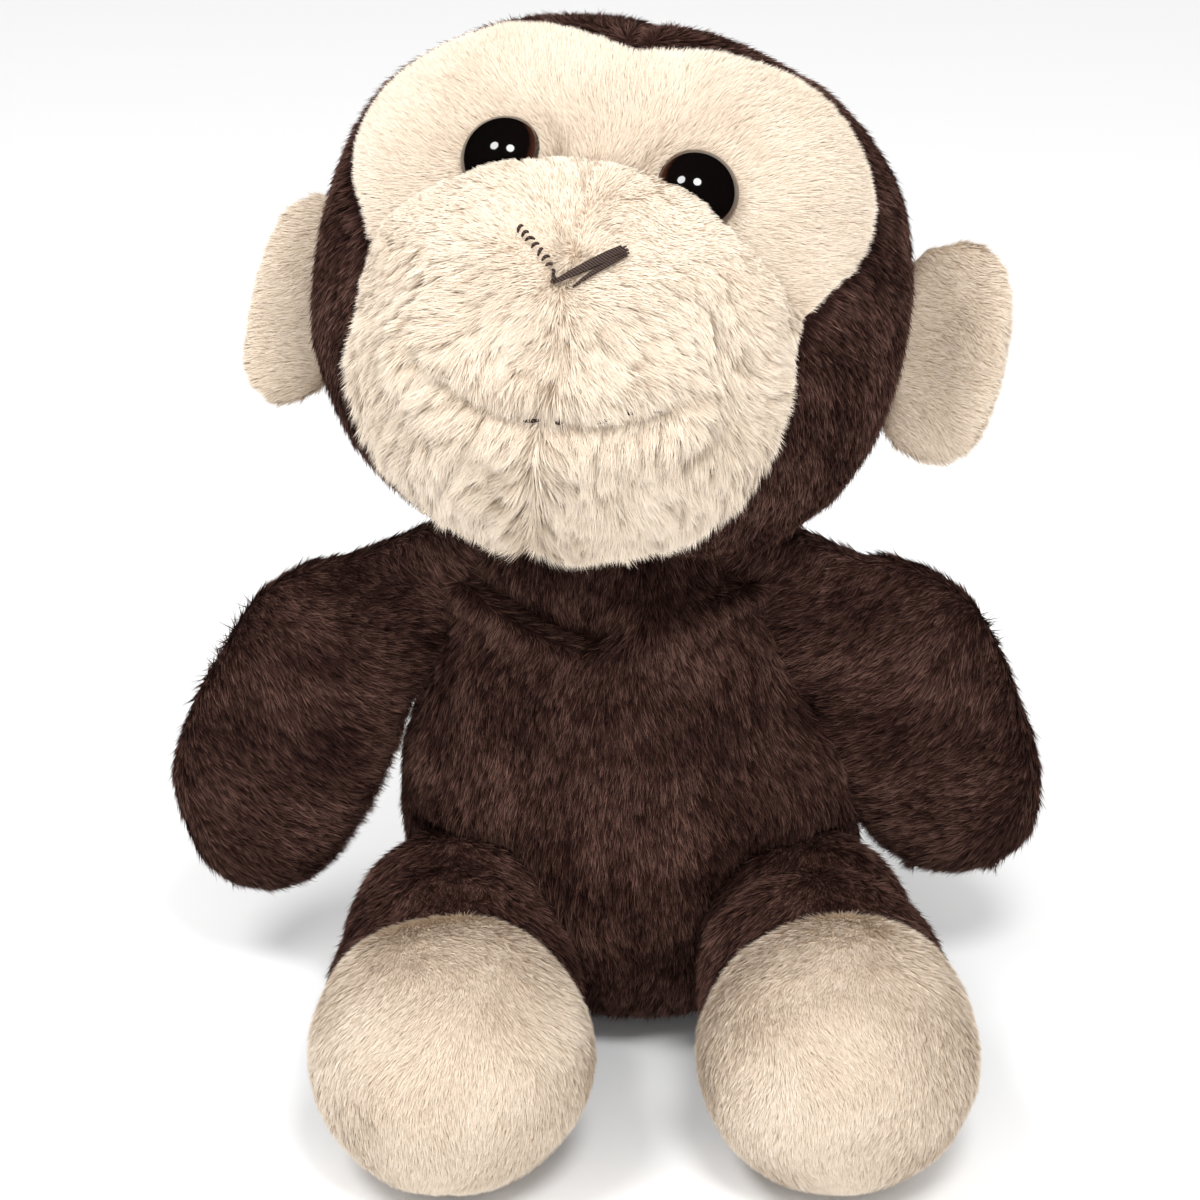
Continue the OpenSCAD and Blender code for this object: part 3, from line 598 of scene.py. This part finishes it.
def moulded(name, low_colour, high_colour, grain, rough):
    """Moulded plastic: a faint cloud of tone, and a fine grain from the mould."""
    made = bpy.data.materials.new(name)
    made.use_nodes = True
    made.node_tree.nodes.clear()
    board = Board(made.node_tree)
    spot = board.add("ShaderNodeTexCoord", None, None, 3)
    cloud = board.add("ShaderNodeTexNoise", None, {"Vector": spot, "Scale": grain / 6, "Detail": 2.0}, 0)
    fine = board.add("ShaderNodeTexNoise", None, {"Vector": spot, "Scale": grain, "Detail": 2.0}, 0)
    colour = board.add("ShaderNodeValToRGB", {"stops": [(0.25, low_colour), (0.75, high_colour)]}, {0: cloud})
    relief = board.add("ShaderNodeBump", None, {"Strength": 0.15, "Distance": 0.05 * MM, "Height": fine})
    shader = board.add("ShaderNodeBsdfPrincipled", None,
                       {"Base Color": colour, "Roughness": fine * 0.15 + rough, "Normal": relief})
    board.add("ShaderNodeOutputMaterial", None, {"Surface": shader})
    return made


finished("pellets", moulded("granules", (0.50, 0.52, 0.55), (0.78, 0.80, 0.83), 900.0, 0.3))

# ---- Neck: the filling that bulges between the body and the hood, under a collar of brown plush.
# It turns in the body's neck opening, so it is as round as the opening.

neck = stuffed_form("neck_form", ["neck_stuffing"], ["neck_stuffing"], 2 * MM, 1.6 * MM, 0.4 * MM)
neck.data.materials.append(brown_backing)
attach(neck, "neck")
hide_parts("neck_stuffing")

# ---- Head: a hood of two halves of brown plush round a face of cream plush, of a brow and two muzzle halves.
# The muzzle's pile is longer than the brow's, and a seam runs from the nose to the chin.

head_panels = ["hood_left", "hood_right", "brow_panel", "muzzle_left", "muzzle_right"]


head_middle = middle_of("head_stuffing")
eyes = {side: middle_of("eye_cap_" + side) for side in ("left", "right")}
nose = middle_of("nose_stitching")
across = unit((eyes["left"] - eyes["right"])[None])[0]
ahead = (eyes["left"] + eyes["right"]) / 2 - head_middle
ahead = unit((ahead - across * (ahead @ across))[None])[0]
up = np.cross(across, -ahead)
up = up if up[2] > 0 else -up
tip_down = math.radians(11)
level_part, tipped_part = math.cos(tip_down), math.sin(tip_down)
ahead, up = ahead * level_part - up * tipped_part, up * level_part + ahead * tipped_part

head = stuffed_form("head_form", head_panels + ["head_stuffing", "neck_stuffing"], head_panels, 2 * MM,
                    1.0 * MM, 1.0 * MM)
head_share = inside_of(coords(head.data), head_panels)
grooved(head, head_share, 1.0 * MM, 2.5 * MM)
lumpy(head, 0.8 * MM, 24 * MM, 7.7)
places, out = coords(head.data), coords(head.data, "normal")
cheek = np.maximum(head_share["muzzle_left"], head_share["muzzle_right"])
past_brow = np.where(cheek > 0, distances(places, "brow_panel"), 0)
roll = bump(past_brow - 4.5 * MM, 4.5 * MM) * (past_brow > 0)
lift_up = np.clip(past_brow / (2.5 * MM), 0, 1)
under_eye = np.zeros(len(places))
for side, cover in (("left", 3.2 * MM), ("right", 2.0 * MM)):
    off = places - eyes[side]
    beneath = (cheek > 0) * (off @ up < 2 * MM)
    under_eye += cover * bump(np.linalg.norm(off, axis=1), 7.5 * MM) * beneath
by_hood = np.minimum(distances(places, "hood_left"), distances(places, "hood_right"))
roll = roll * np.clip(by_hood / (9 * MM), 0, 1)
put(head.data, places + (out + 0.6 * up) * (3.0 * MM * roll * lift_up + under_eye)[:, None])
smile = distances(coords(head.data), "mouth_stitching")
places, out = coords(head.data), coords(head.data, "normal")
above = (places - middle_of("mouth_stitching")) @ up > 0
lip = bump(smile - 4.5 * MM, 3.2 * MM) * np.where(above, 1.6 * MM, 0.9 * MM) * (cheek > 0)
cleft = 0.6 * MM * bump((places - nose) @ across, 1.6 * MM) * (cheek > 0) * ((places - nose) @ up < 0)
crease = 1.9 * MM * bump(smile, 1.8 * MM)
put(head.data, places + out * (lip - crease - cleft)[:, None])
for side in ("left", "right"):
    socket = np.linalg.norm(places - eyes[side], axis=1)
    put(head.data, coords(head.data) - out * (0.7 * MM * np.clip(1 - socket / (11 * MM), 0, 1))[:, None])


def over_washer(side):
    """Raises the head's surface round an eye just enough to cover the washer inside."""
    washer = coords(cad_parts["eye_washer_" + side].data)
    middle = washer.mean(0)
    stem = unit((eyes[side] - middle)[None])[0]
    over = (washer - middle) @ stem
    wide = np.linalg.norm(washer - middle - np.outer(over, stem), axis=1).max()
    off = coords(head.data) - middle
    level = off @ stem
    past = np.linalg.norm(off - np.outer(level, stem), axis=1) - wide
    near = np.clip((3 * MM - past) / (2 * MM), 0, 1) * (level > -6 * MM)
    cover = np.maximum(over.max() + 0.8 * MM - level, 0) * near
    put(head.data, coords(head.data) + np.outer(cover, stem))


for side in ("left", "right"):
    over_washer(side)
face = np.maximum.reduce([head_share[p] for p in head_panels[2:]])
store(head.data, "face", face / MM)

places, out = coords(head.data), coords(head.data, "normal")
sideways = np.sign((places - head_middle) @ across)[:, None] * across
back = along(-0.7 * ahead - 0.6 * up + 0.1 * sideways, out)
root_of_nose = (eyes["left"] + eyes["right"]) / 2 - 4 * MM * up
fan = along(places - root_of_nose, out)
from_nose = places - nose
parted = np.exp(-np.abs(from_nose @ across) / (5 * MM))[:, None] * sideways * 0.9
whirl = along(unit(from_nose) + parted - 0.25 * up, out)
clear_of_eye = np.minimum.reduce([np.linalg.norm(places - e, axis=1) for e in eyes.values()])
near_nose = distances(places, "nose_stitching")
short = np.clip((near_nose - 0.3 * MM) / (4 * MM), 0.15, 1) * np.clip(0.25 + smile / (4.5 * MM), 0.25, 1)
rim = np.clip((clear_of_eye - 4.6 * MM) / (3.0 * MM), 0.35, 1)
to_hood = np.minimum(distances(places, "hood_left"), distances(places, "hood_right"))
edge = np.clip(0.7 + to_hood / (7 * MM), 0.7, 1)
low_down = np.clip(0.2 - (places - nose) @ up / (22 * MM), 0, 1)
HOOD_NAP = {"length": 2.5 * MM, "lay": 0.76, "density": 1.2, "clump": 1.5 * MM, "pull": 0.5, "stray": 0.08,
            "tuft": 0.6, "ruffle": 0.2, "leaf": False}
BROW_NAP = {"length": 1.9 * MM, "lay": 0.5, "density": 2.4, "clump": 1.3 * MM, "pull": 0.15, "stray": 0.08,
            "tuft": 0.1, "ruffle": 0.1, "leaf": False}
MUZZLE_NAP = {"length": 4.2 * MM, "lay": 0.6, "density": 3.0, "clump": 2.6 * MM, "pull": 0.4, "stray": 0.08,
              "tuft": 0.45, "ruffle": 0.1, "leaf": True}
SEAM_TO_HOOD = 1.2 * MM
for k, panel in enumerate(head_panels):
    hood, muzzle = panel.startswith("hood"), panel.startswith("muzzle")
    comb, nap = (back, HOOD_NAP) if hood else (whirl, MUZZLE_NAP) if muzzle else (fan, BROW_NAP)
    comb = wandering(comb, out, places, (9 if muzzle else 12) * MM, 1.1 if muzzle else 0.8, 9 + k)
    long = short * (0.3 + 0.7 * low_down if muzzle else rim) * (1 if hood else edge)
    inside = np.where(clear_of_eye > (3.0 if muzzle else 5.0) * MM, head_share[panel], -1.0)
    if not hood:
        inside = np.minimum(inside, to_hood - SEAM_TO_HOOD)
    part = pile(panel + "_pile", head, inside, comb, long, brown_pile if hood else cream_pile, 31 + k, **nap)
    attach(part, "head")
    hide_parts(panel)


def two_plushes(name):
    """The plush's backing on a form of two colours, which change at the seam between them."""
    made = plush(name, *BROWN, 12 * MM, 0.4, 0.04, backing=True)
    board = Board(made.node_tree)
    nodes = made.node_tree.nodes
    shader = next(n for n in nodes if n.type == "BSDF_PRINCIPLED")
    dark = Wire(board, shader.inputs["Base Color"].links[0].from_socket)
    level = Wire(board, dark.socket.node.inputs[0].links[0].from_socket)
    # The cream takes the same level as the brown, so the face's backing also stays near the root's painted
    # shade under the pile.
    pale = board.add("ShaderNodeValToRGB", {"stops": [(0.05, CREAM[0]), (0.45, CREAM[1]), (0.95, CREAM[2])]},
                     {0: level})
    share = board.add("ShaderNodeAttribute", {"attribute_name": "face"}, None, 2)
    mixed = board.add("ShaderNodeMix", {"data_type": "RGBA"}, {0: share > 0, 6: dark, 7: pale}, 2)
    made.node_tree.links.new(mixed.socket, shader.inputs["Base Color"])
    return made


head_backing = two_plushes("head_backing")
head.data.materials.append(head_backing)
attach(head, "head")
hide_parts("head_stuffing")

# ---- Nose and smile: dark thread, worked by hand through the muzzle. The nose is a V with one satin bar and
# one line of short stitches half hidden in the pile; the smile's stitches draw the muzzle in between lips.


def stitch_tree():
    """The nodes that turn edges into stitches: threads that arch a little and sink in at both ends."""
    tree = bpy.data.node_groups.new("stitches", "GeometryNodeTree")
    tree.interface.new_socket("Geometry", in_out="INPUT", socket_type="NodeSocketGeometry")
    for name, kind in (("Thickness", "Float"), ("Arch", "Float"), ("Material", "Material")):
        tree.interface.new_socket(name, in_out="INPUT", socket_type="NodeSocket" + kind)
    tree.interface.new_socket("Geometry", in_out="OUTPUT", socket_type="NodeSocketGeometry")
    board = Board(tree)
    given = tree.nodes.new("NodeGroupInput")
    value = {sock.name: Wire(board, sock) for sock in given.outputs if sock.name}
    curve = board.add("GeometryNodeMeshToCurve", None, {"Mesh": value["Geometry"]})
    curve = board.add("GeometryNodeResampleCurve", None, {"Curve": curve, "Count": 7})
    step = board.add("GeometryNodeSplineParameter")
    hump = step * (1 - step) * 4
    away = board.named("away", "FLOAT_VECTOR") * (hump * value["Arch"])
    curve = board.add("GeometryNodeSetPosition", None, {"Geometry": curve, "Offset": away})
    around = board.add("GeometryNodeCurvePrimitiveCircle", None, {"Resolution": 8, "Radius": 1.0})
    tube = board.add("GeometryNodeCurveToMesh", None, {
        "Curve": curve, "Profile Curve": around, "Scale": value["Thickness"] * (hump * 0.45 + 0.55),
        "Fill Caps": True})
    tube = board.add("GeometryNodeSetShadeSmooth", None, {"Geometry": tube})
    tube = board.add("GeometryNodeRealizeInstances", None, {"Geometry": tube})
    tube = board.add("GeometryNodeSetMaterial", None, {"Geometry": tube, "Material": value["Material"]})
    board.add("NodeGroupOutput", None, {"Geometry": tube})
    return tree


stitch_nodes = stitch_tree()
head_surface = BVHTree.FromPolygons([v.co for v in head.data.vertices],
                                    [tuple(p.vertices) for p in head.data.polygons])


def on_head(place, lift):
    """The place on the muzzle's surface nearest a place, lifted out of it, and the way out there."""
    spot, way, _, _ = head_surface.find_nearest(Vector(place))
    return np.array(spot + way * lift), np.array(way)


def stitched(name, ends, thickness, arch, lift, node):
    """A row of stitches, from pairs of ends laid on the head."""
    rows = [on_head(p, lift) for pair in ends for p in pair]
    mesh = bpy.data.meshes.new(name)
    mesh.from_pydata([tuple(r[0]) for r in rows], [(k, k + 1) for k in range(0, len(rows), 2)], [])
    store(mesh, "away", np.array([r[1] for r in rows]))
    ob = bpy.data.objects.new(name, mesh)
    scene.collection.objects.link(ob)
    nodes = ob.modifiers.new("Stitches", "NODES")
    nodes.node_group = stitch_nodes
    wanted = {"Thickness": thickness, "Arch": arch, "Material": thread}
    for item in stitch_nodes.interface.items_tree:
        if item.in_out == "INPUT" and item.name in wanted:
            nodes[item.identifier] = wanted[item.name]
    settled(ob)
    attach(ob, "head")
    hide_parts(node)
    return ob


def satin_bar(low, high, bar, cross):
    """The pairs of ends of long stitches that lie side by side and make one thick bar."""
    ends = []
    for k in range(9):
        off = (k - 4) * 0.17 * MM
        uneven = 0.25 * MM * math.sin(2.4 * k)
        start = low + cross * off * 0.4 + bar * (uneven - 0.6 * MM)
        ends.append((start, high + cross * off * 1.3 - bar * (uneven + 0.5 * MM + off * off / MM)))
    return ends


def short_stitches(low, high, bar, cross):
    """The pairs of ends of short slanting stitches in a line."""
    ends = []
    for k in range(9):
        centre = low + (high - low) * (k + 0.4) / 9
        slant = (cross + bar * 0.5 * math.sin(1.7 * k + 1)) * 0.62 * MM
        ends.append((centre - slant, centre + slant))
    return ends


nose_rows = coords(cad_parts["nose_stitching"].data)
nose_ends = []
for s, worked in ((1, satin_bar), (-1, short_stitches)):
    sideways_of = s * (nose_rows - nose) @ across
    near_middle = np.percentile(sideways_of[sideways_of > 0], 12)
    low = nose_rows[(sideways_of > 0) & (sideways_of < near_middle)].mean(0)
    high = nose_rows[sideways_of > np.percentile(sideways_of, 94)].mean(0)
    bar = unit((high - low)[None])[0]
    cross = unit(np.cross(bar, ahead)[None])[0]
    nose_ends += worked(low, high, bar, cross)
stitched("nose_embroidery", nose_ends, 0.26 * MM, 0.5 * MM, 0.9 * MM, "nose_stitching")
smile_rows = coords(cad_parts["mouth_stitching"].data)
smile_rows = smile_rows[np.argsort(smile_rows @ across)]
SMILE_STEPS = 24
smile_line = np.array([rows.mean(0) for rows in np.array_split(smile_rows, SMILE_STEPS)])
SMILE_STITCHES = 11
BURIED = (2, 3, 7)


def on_smile(share):
    """The place at a share of the way along the smile."""
    at = share * (SMILE_STEPS - 1)
    return np.array([np.interp(at, np.arange(SMILE_STEPS), smile_line[:, axis]) for axis in range(3)])


smile_ends = [(on_smile((k + 0.2) / SMILE_STITCHES), on_smile((k + 0.75) / SMILE_STITCHES))
              for k in range(SMILE_STITCHES) if k not in BURIED]
stitched("mouth_embroidery", smile_ends, 0.3 * MM, 0.25 * MM, 0.8 * MM, "mouth_stitching")

# ---- Eyes: domes of clear brown plastic over a black back, with a ribbed stem through the brow panel and a
# washer pressed on inside. The pupil is painted black on the dome's flat back, so a thin brown rim shows.


def glossy_eye():
    made = bpy.data.materials.new("eye_gloss")
    made.use_nodes = True
    made.node_tree.nodes.clear()
    board = Board(made.node_tree)
    from_axis = board.add("ShaderNodeAttribute", {"attribute_name": "from_axis"}, None, 2)
    spot = board.add("ShaderNodeTexCoord", None, None, 3)
    speck = board.add("ShaderNodeTexNoise", None, {"Vector": spot, "Scale": 900.0, "Detail": 2.0})
    pupil = [(0.0, (0.002, 0.0016, 0.0015)), (0.86, (0.003, 0.002, 0.0018))]
    rim = [(0.92, (0.030, 0.010, 0.006)), (1.0, (0.060, 0.024, 0.014))]
    ring = board.add("ShaderNodeValToRGB", {"stops": pupil + rim}, {0: from_axis + (speck - 0.5) * 0.05})
    shader = board.add("ShaderNodeBsdfPrincipled", None, {
        "Base Color": ring, "Roughness": 0.06, "IOR": 1.5, "Specular IOR Level": 0.5})
    board.add("ShaderNodeOutputMaterial", None, {"Surface": shader})
    return made


eye_gloss = glossy_eye()
eye_back = moulded("eye_back", (0.010, 0.010, 0.010), (0.022, 0.021, 0.020), 2500.0, 0.35)
washer_plastic = moulded("washer_plastic", (0.60, 0.60, 0.57), (0.74, 0.74, 0.70), 1800.0, 0.4)
for side in ("left", "right"):
    dome = copied("eye_dome_" + side, ["eye_cap_" + side])
    places = coords(dome.data)
    washer = coords(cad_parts["eye_washer_" + side].data).mean(0)
    axis = unit((places.mean(0) - washer)[None])[0]
    offset = places - washer
    away = np.linalg.norm(offset - (offset @ axis)[:, None] * axis, axis=1)
    store(dome.data, "from_axis", away / away.max())
    dome.data.materials.append(eye_gloss)
    dome.data.shade_smooth()
    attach(dome, "head")
    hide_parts("eye_cap_" + side)
    finished("eye_shank_" + side, eye_back)
    finished("eye_washer_" + side, washer_plastic)

# ---- Ears: a front and a back of cream plush over thin wadding, sewn into the hood's side seams. The front is
# dished, the root reaches into the hood and the rim rolls over a little.

EAR_NAP = {"density": 2.0, "length": 1.8 * MM, "lay": 0.55, "clump": 1.4 * MM, "pull": 0.2, "stray": 0.08,
           "tuft": 0.15, "ruffle": 0.1}

for s, side in ((1, "left"), (-1, "right")):
    panels = ["ear_front_" + side, "ear_back_" + side]
    ear = stuffed_form("ear_form_" + side, panels + ["ear_wadding_" + side], panels, 1.0 * MM, 0.6 * MM,
                       0.6 * MM)
    share = inside_of(coords(ear.data), panels)
    grooved(ear, share, 0.5 * MM, 1.6 * MM)
    places, out = coords(ear.data), coords(ear.data, "normal")
    centre = places.mean(0)
    reach = (places - centre) @ (across * s)
    rise = (places - centre) @ up
    dish = bump(reach + 1 * MM, 3.5 * MM) * bump(rise, 10 * MM)
    front = np.clip(out @ ahead, 0, 1)
    half = np.abs(rise).max()
    inner = np.clip(0.5 - reach / (6 * MM), 0, 1) * (1 - 0.5 * (rise / half) ** 2)
    outer = np.clip(reach / (7 * MM), 0, 1)
    rounded = np.clip(rise, *np.percentile(rise, (2.5, 97.5)))
    taller = rounded * (1.16 - 0.30 * outer ** 2) - rise
    dished = ahead * (2.2 * MM * dish * front)[:, None]
    put(ear.data, places - dished - s * across * (6.0 * MM * inner)[:, None] + up * taller[:, None])
    soften = ear.modifiers.new("Soften", "SMOOTH")
    soften.iterations = 8
    settled(ear)
    fuller(ear, 0.9 * MM)
    places, out = coords(ear.data), coords(ear.data, "normal")
    comb = wandering(along(s * across - 0.3 * up, out), out, places, 9 * MM, 0.7, 17 + s)
    ear.data.materials.append(cream_backing)
    for k, panel in enumerate(panels):
        part = pile(panel + "_pile", ear, share[panel], comb, np.ones(len(places)), cream_pile,
                    51 + k + 5 * s, **EAR_NAP)
        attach(part, "ear_" + side)
        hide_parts(panel)
    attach(ear, "ear_" + side)
    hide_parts("ear_wadding_" + side)

# ---- Arms: flat paddles of a front and a back of brown plush with a seam all round, sewn on at the
# shoulders. An arm's root is drawn up and inward into the torso, and its end hangs a little forward.

for s, side in ((1, "left"), (-1, "right")):
    panels = ["arm_front_" + side, "arm_back_" + side]
    arm = stuffed_form("arm_form_" + side, panels + ["arm_stuffing_" + side], panels, 1.5 * MM, 0.8 * MM,
                       1.0 * MM)
    share = inside_of(coords(arm.data), panels)
    grooved(arm, share, 1.2 * MM, 2.6 * MM)
    lumpy(arm, 1.0 * MM, 18 * MM, 2.0 + s)
    places = coords(arm.data)
    shoulder = middle_of("shoulder_seam_thread_" + side)
    drop = (shoulder[2] - places[:, 2]) / (30 * MM)
    root = np.clip(1 - np.abs(drop), 0, 1) ** 1.2
    inward = np.clip(0.75 - s * (places[:, 0] - shoulder[0]) / (24 * MM), 0, 1)
    put(arm.data, places + np.array((-s * 13.0, -7.0, 17.0)) * MM * (root * inward)[:, None])
    fuller(arm, 1.8 * MM)
    places = coords(arm.data)
    cuff = np.clip(drop / 1.2, 0, 1)
    put(arm.data, places + np.array((0 if s > 0 else -1.2, -3.0, -1.0)) * MM * cuff[:, None])
    places, out = coords(arm.data), coords(arm.data, "normal")
    comb = wandering(along((-s, -0.15, -0.55), out), out, places, 14 * MM, 0.9, 27 + s)
    arm.data.materials.append(brown_backing)
    for k, panel in enumerate(panels):
        part = pile(panel + "_pile", arm, share[panel], comb, np.ones(len(places)), brown_pile,
                    71 + k + 5 * s, 1.2, 2.7 * MM, lay=0.74)
        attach(part, "arm_" + side)
        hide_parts(panel)
    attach(arm, "arm_" + side)
    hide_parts("arm_stuffing_" + side)

# ---- Legs: a sleeve of brown plush from the hip, and a round foot of cream plush, of an upper and a sole.
# The pile is pressed short where they rest on the table.

SLEEVE_NAP = {"density": 1.2, "length": 2.5 * MM, "lay": 0.76, "clump": 1.5 * MM, "pull": 0.4, "stray": 0.1,
              "tuft": 0.5, "ruffle": 0.2}
FOOT_NAP = {"density": 2.2, "length": 1.7 * MM, "lay": 0.55, "clump": 1.3 * MM, "pull": 0.15, "stray": 0.07,
            "tuft": 0.1, "ruffle": 0.1}
for s, side in ((1, "left"), (-1, "right")):
    panels = ["leg_sleeve_" + side, "foot_upper_" + side, "foot_sole_" + side]
    leg = stuffed_form("leg_form_" + side, panels + ["leg_stuffing_" + side], panels, 1.5 * MM, 0.6 * MM,
                       0.8 * MM)
    share = inside_of(coords(leg.data), panels)
    grooved(leg, share, 0.7 * MM, 2.2 * MM)
    lumpy(leg, 0.7 * MM, 16 * MM, 12.0 + s)
    fuller(leg, 2.0 * MM)
    store(leg.data, "face", -share[panels[0]] / MM)
    places, out = coords(leg.data), coords(leg.data, "normal")
    comb = wandering(along((0, -0.5, -0.8), out), out, places, 12 * MM, 0.9, 37 + s)
    leg.data.materials.append(head_backing)
    raised = np.clip((places[:, 2] - 0.6 * MM) / (3.0 * MM), 0, 1)
    for k, panel in enumerate(panels):
        brown = k == 0
        inside = np.where(raised > 0.02, share[panel], -1.0)
        plush_of_it, nap = (brown_pile, SLEEVE_NAP) if brown else (cream_pile, FOOT_NAP)
        part = pile(panel + "_pile", leg, inside, comb, 0.35 + 0.65 * raised, plush_of_it, 91 + k + 5 * s,
                    **nap)
        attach(part, "leg_" + side)
        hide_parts(panel)
    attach(leg, "leg_" + side)
    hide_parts("leg_stuffing_" + side)

# ---- The table it stands on, the lights and the camera.

HALF_TABLE = 1.5
table_top = bpy.data.meshes.new("floor")
corners = [(x * HALF_TABLE, y * HALF_TABLE, 0) for x, y in ((-1, -1), (1, -1), (1, 1), (-1, 1))]
table_top.from_pydata(corners, [], [(0, 1, 2, 3)])
table = bpy.data.objects.new("floor", table_top)
table.location.z = cad_box[0].z - 0.4 * MM
scene.collection.objects.link(table)
table.visible_glossy = False
paper = bpy.data.materials.new("paper")
paper.use_nodes = True
paper.node_tree.nodes["Principled BSDF"].inputs["Base Color"].default_value = (0.95, 0.95, 0.95, 1)
paper.node_tree.nodes["Principled BSDF"].inputs["Roughness"].default_value = 0.8
table.data.materials.append(paper)

sky = bpy.data.worlds.new("studio")
scene.world = sky
sky.use_nodes = True
sky.node_tree.nodes["Background"].inputs[0].default_value = (1, 1, 1, 1)
sky.node_tree.nodes["Background"].inputs[1].default_value = 0.85
sky.cycles_visibility.glossy = False
scene.view_settings.view_transform = "Standard"

target = middle_of("neck_stuffing") + np.array((-0.6, 0, -14.6)) * MM


def lamp(name, place, size, power, shows=True):
    """A round soft box that faces the toy. One that doesn't show makes no highlight in the eyes."""
    light = bpy.data.lights.new(name, "AREA")
    light.shape = "DISK"
    light.size = size
    light.energy = power
    ob = bpy.data.objects.new(name, light)
    ob.location = place
    ob.visible_glossy = shows
    ob.rotation_mode = "QUATERNION"
    ob.rotation_quaternion = (Vector(target) - Vector(place)).to_track_quat("-Z", "Y")
    scene.collection.objects.link(ob)


lamp("box_left", (-0.29, -0.26, 0.64), 0.2, 2.0)
lamp("box_right", (0.10, -0.38, 0.64), 0.2, 2.4)
lamp("front", (0.1, -0.9, 0.29), 0.8, 2.6, False)

eye_view = bpy.data.cameras.new("camera")
eye_view.sensor_width = 36
eye_view.lens = 108.75
camera = bpy.data.objects.new("camera", eye_view)
look_down, far_off = math.radians(25), 0.58
camera.location = target + np.array((0, -math.cos(look_down), math.sin(look_down))) * far_off
camera.rotation_mode = "QUATERNION"
camera.rotation_quaternion = (Vector(target) - camera.location).to_track_quat("-Z", "Y")
scene.collection.objects.link(camera)
scene.camera = camera
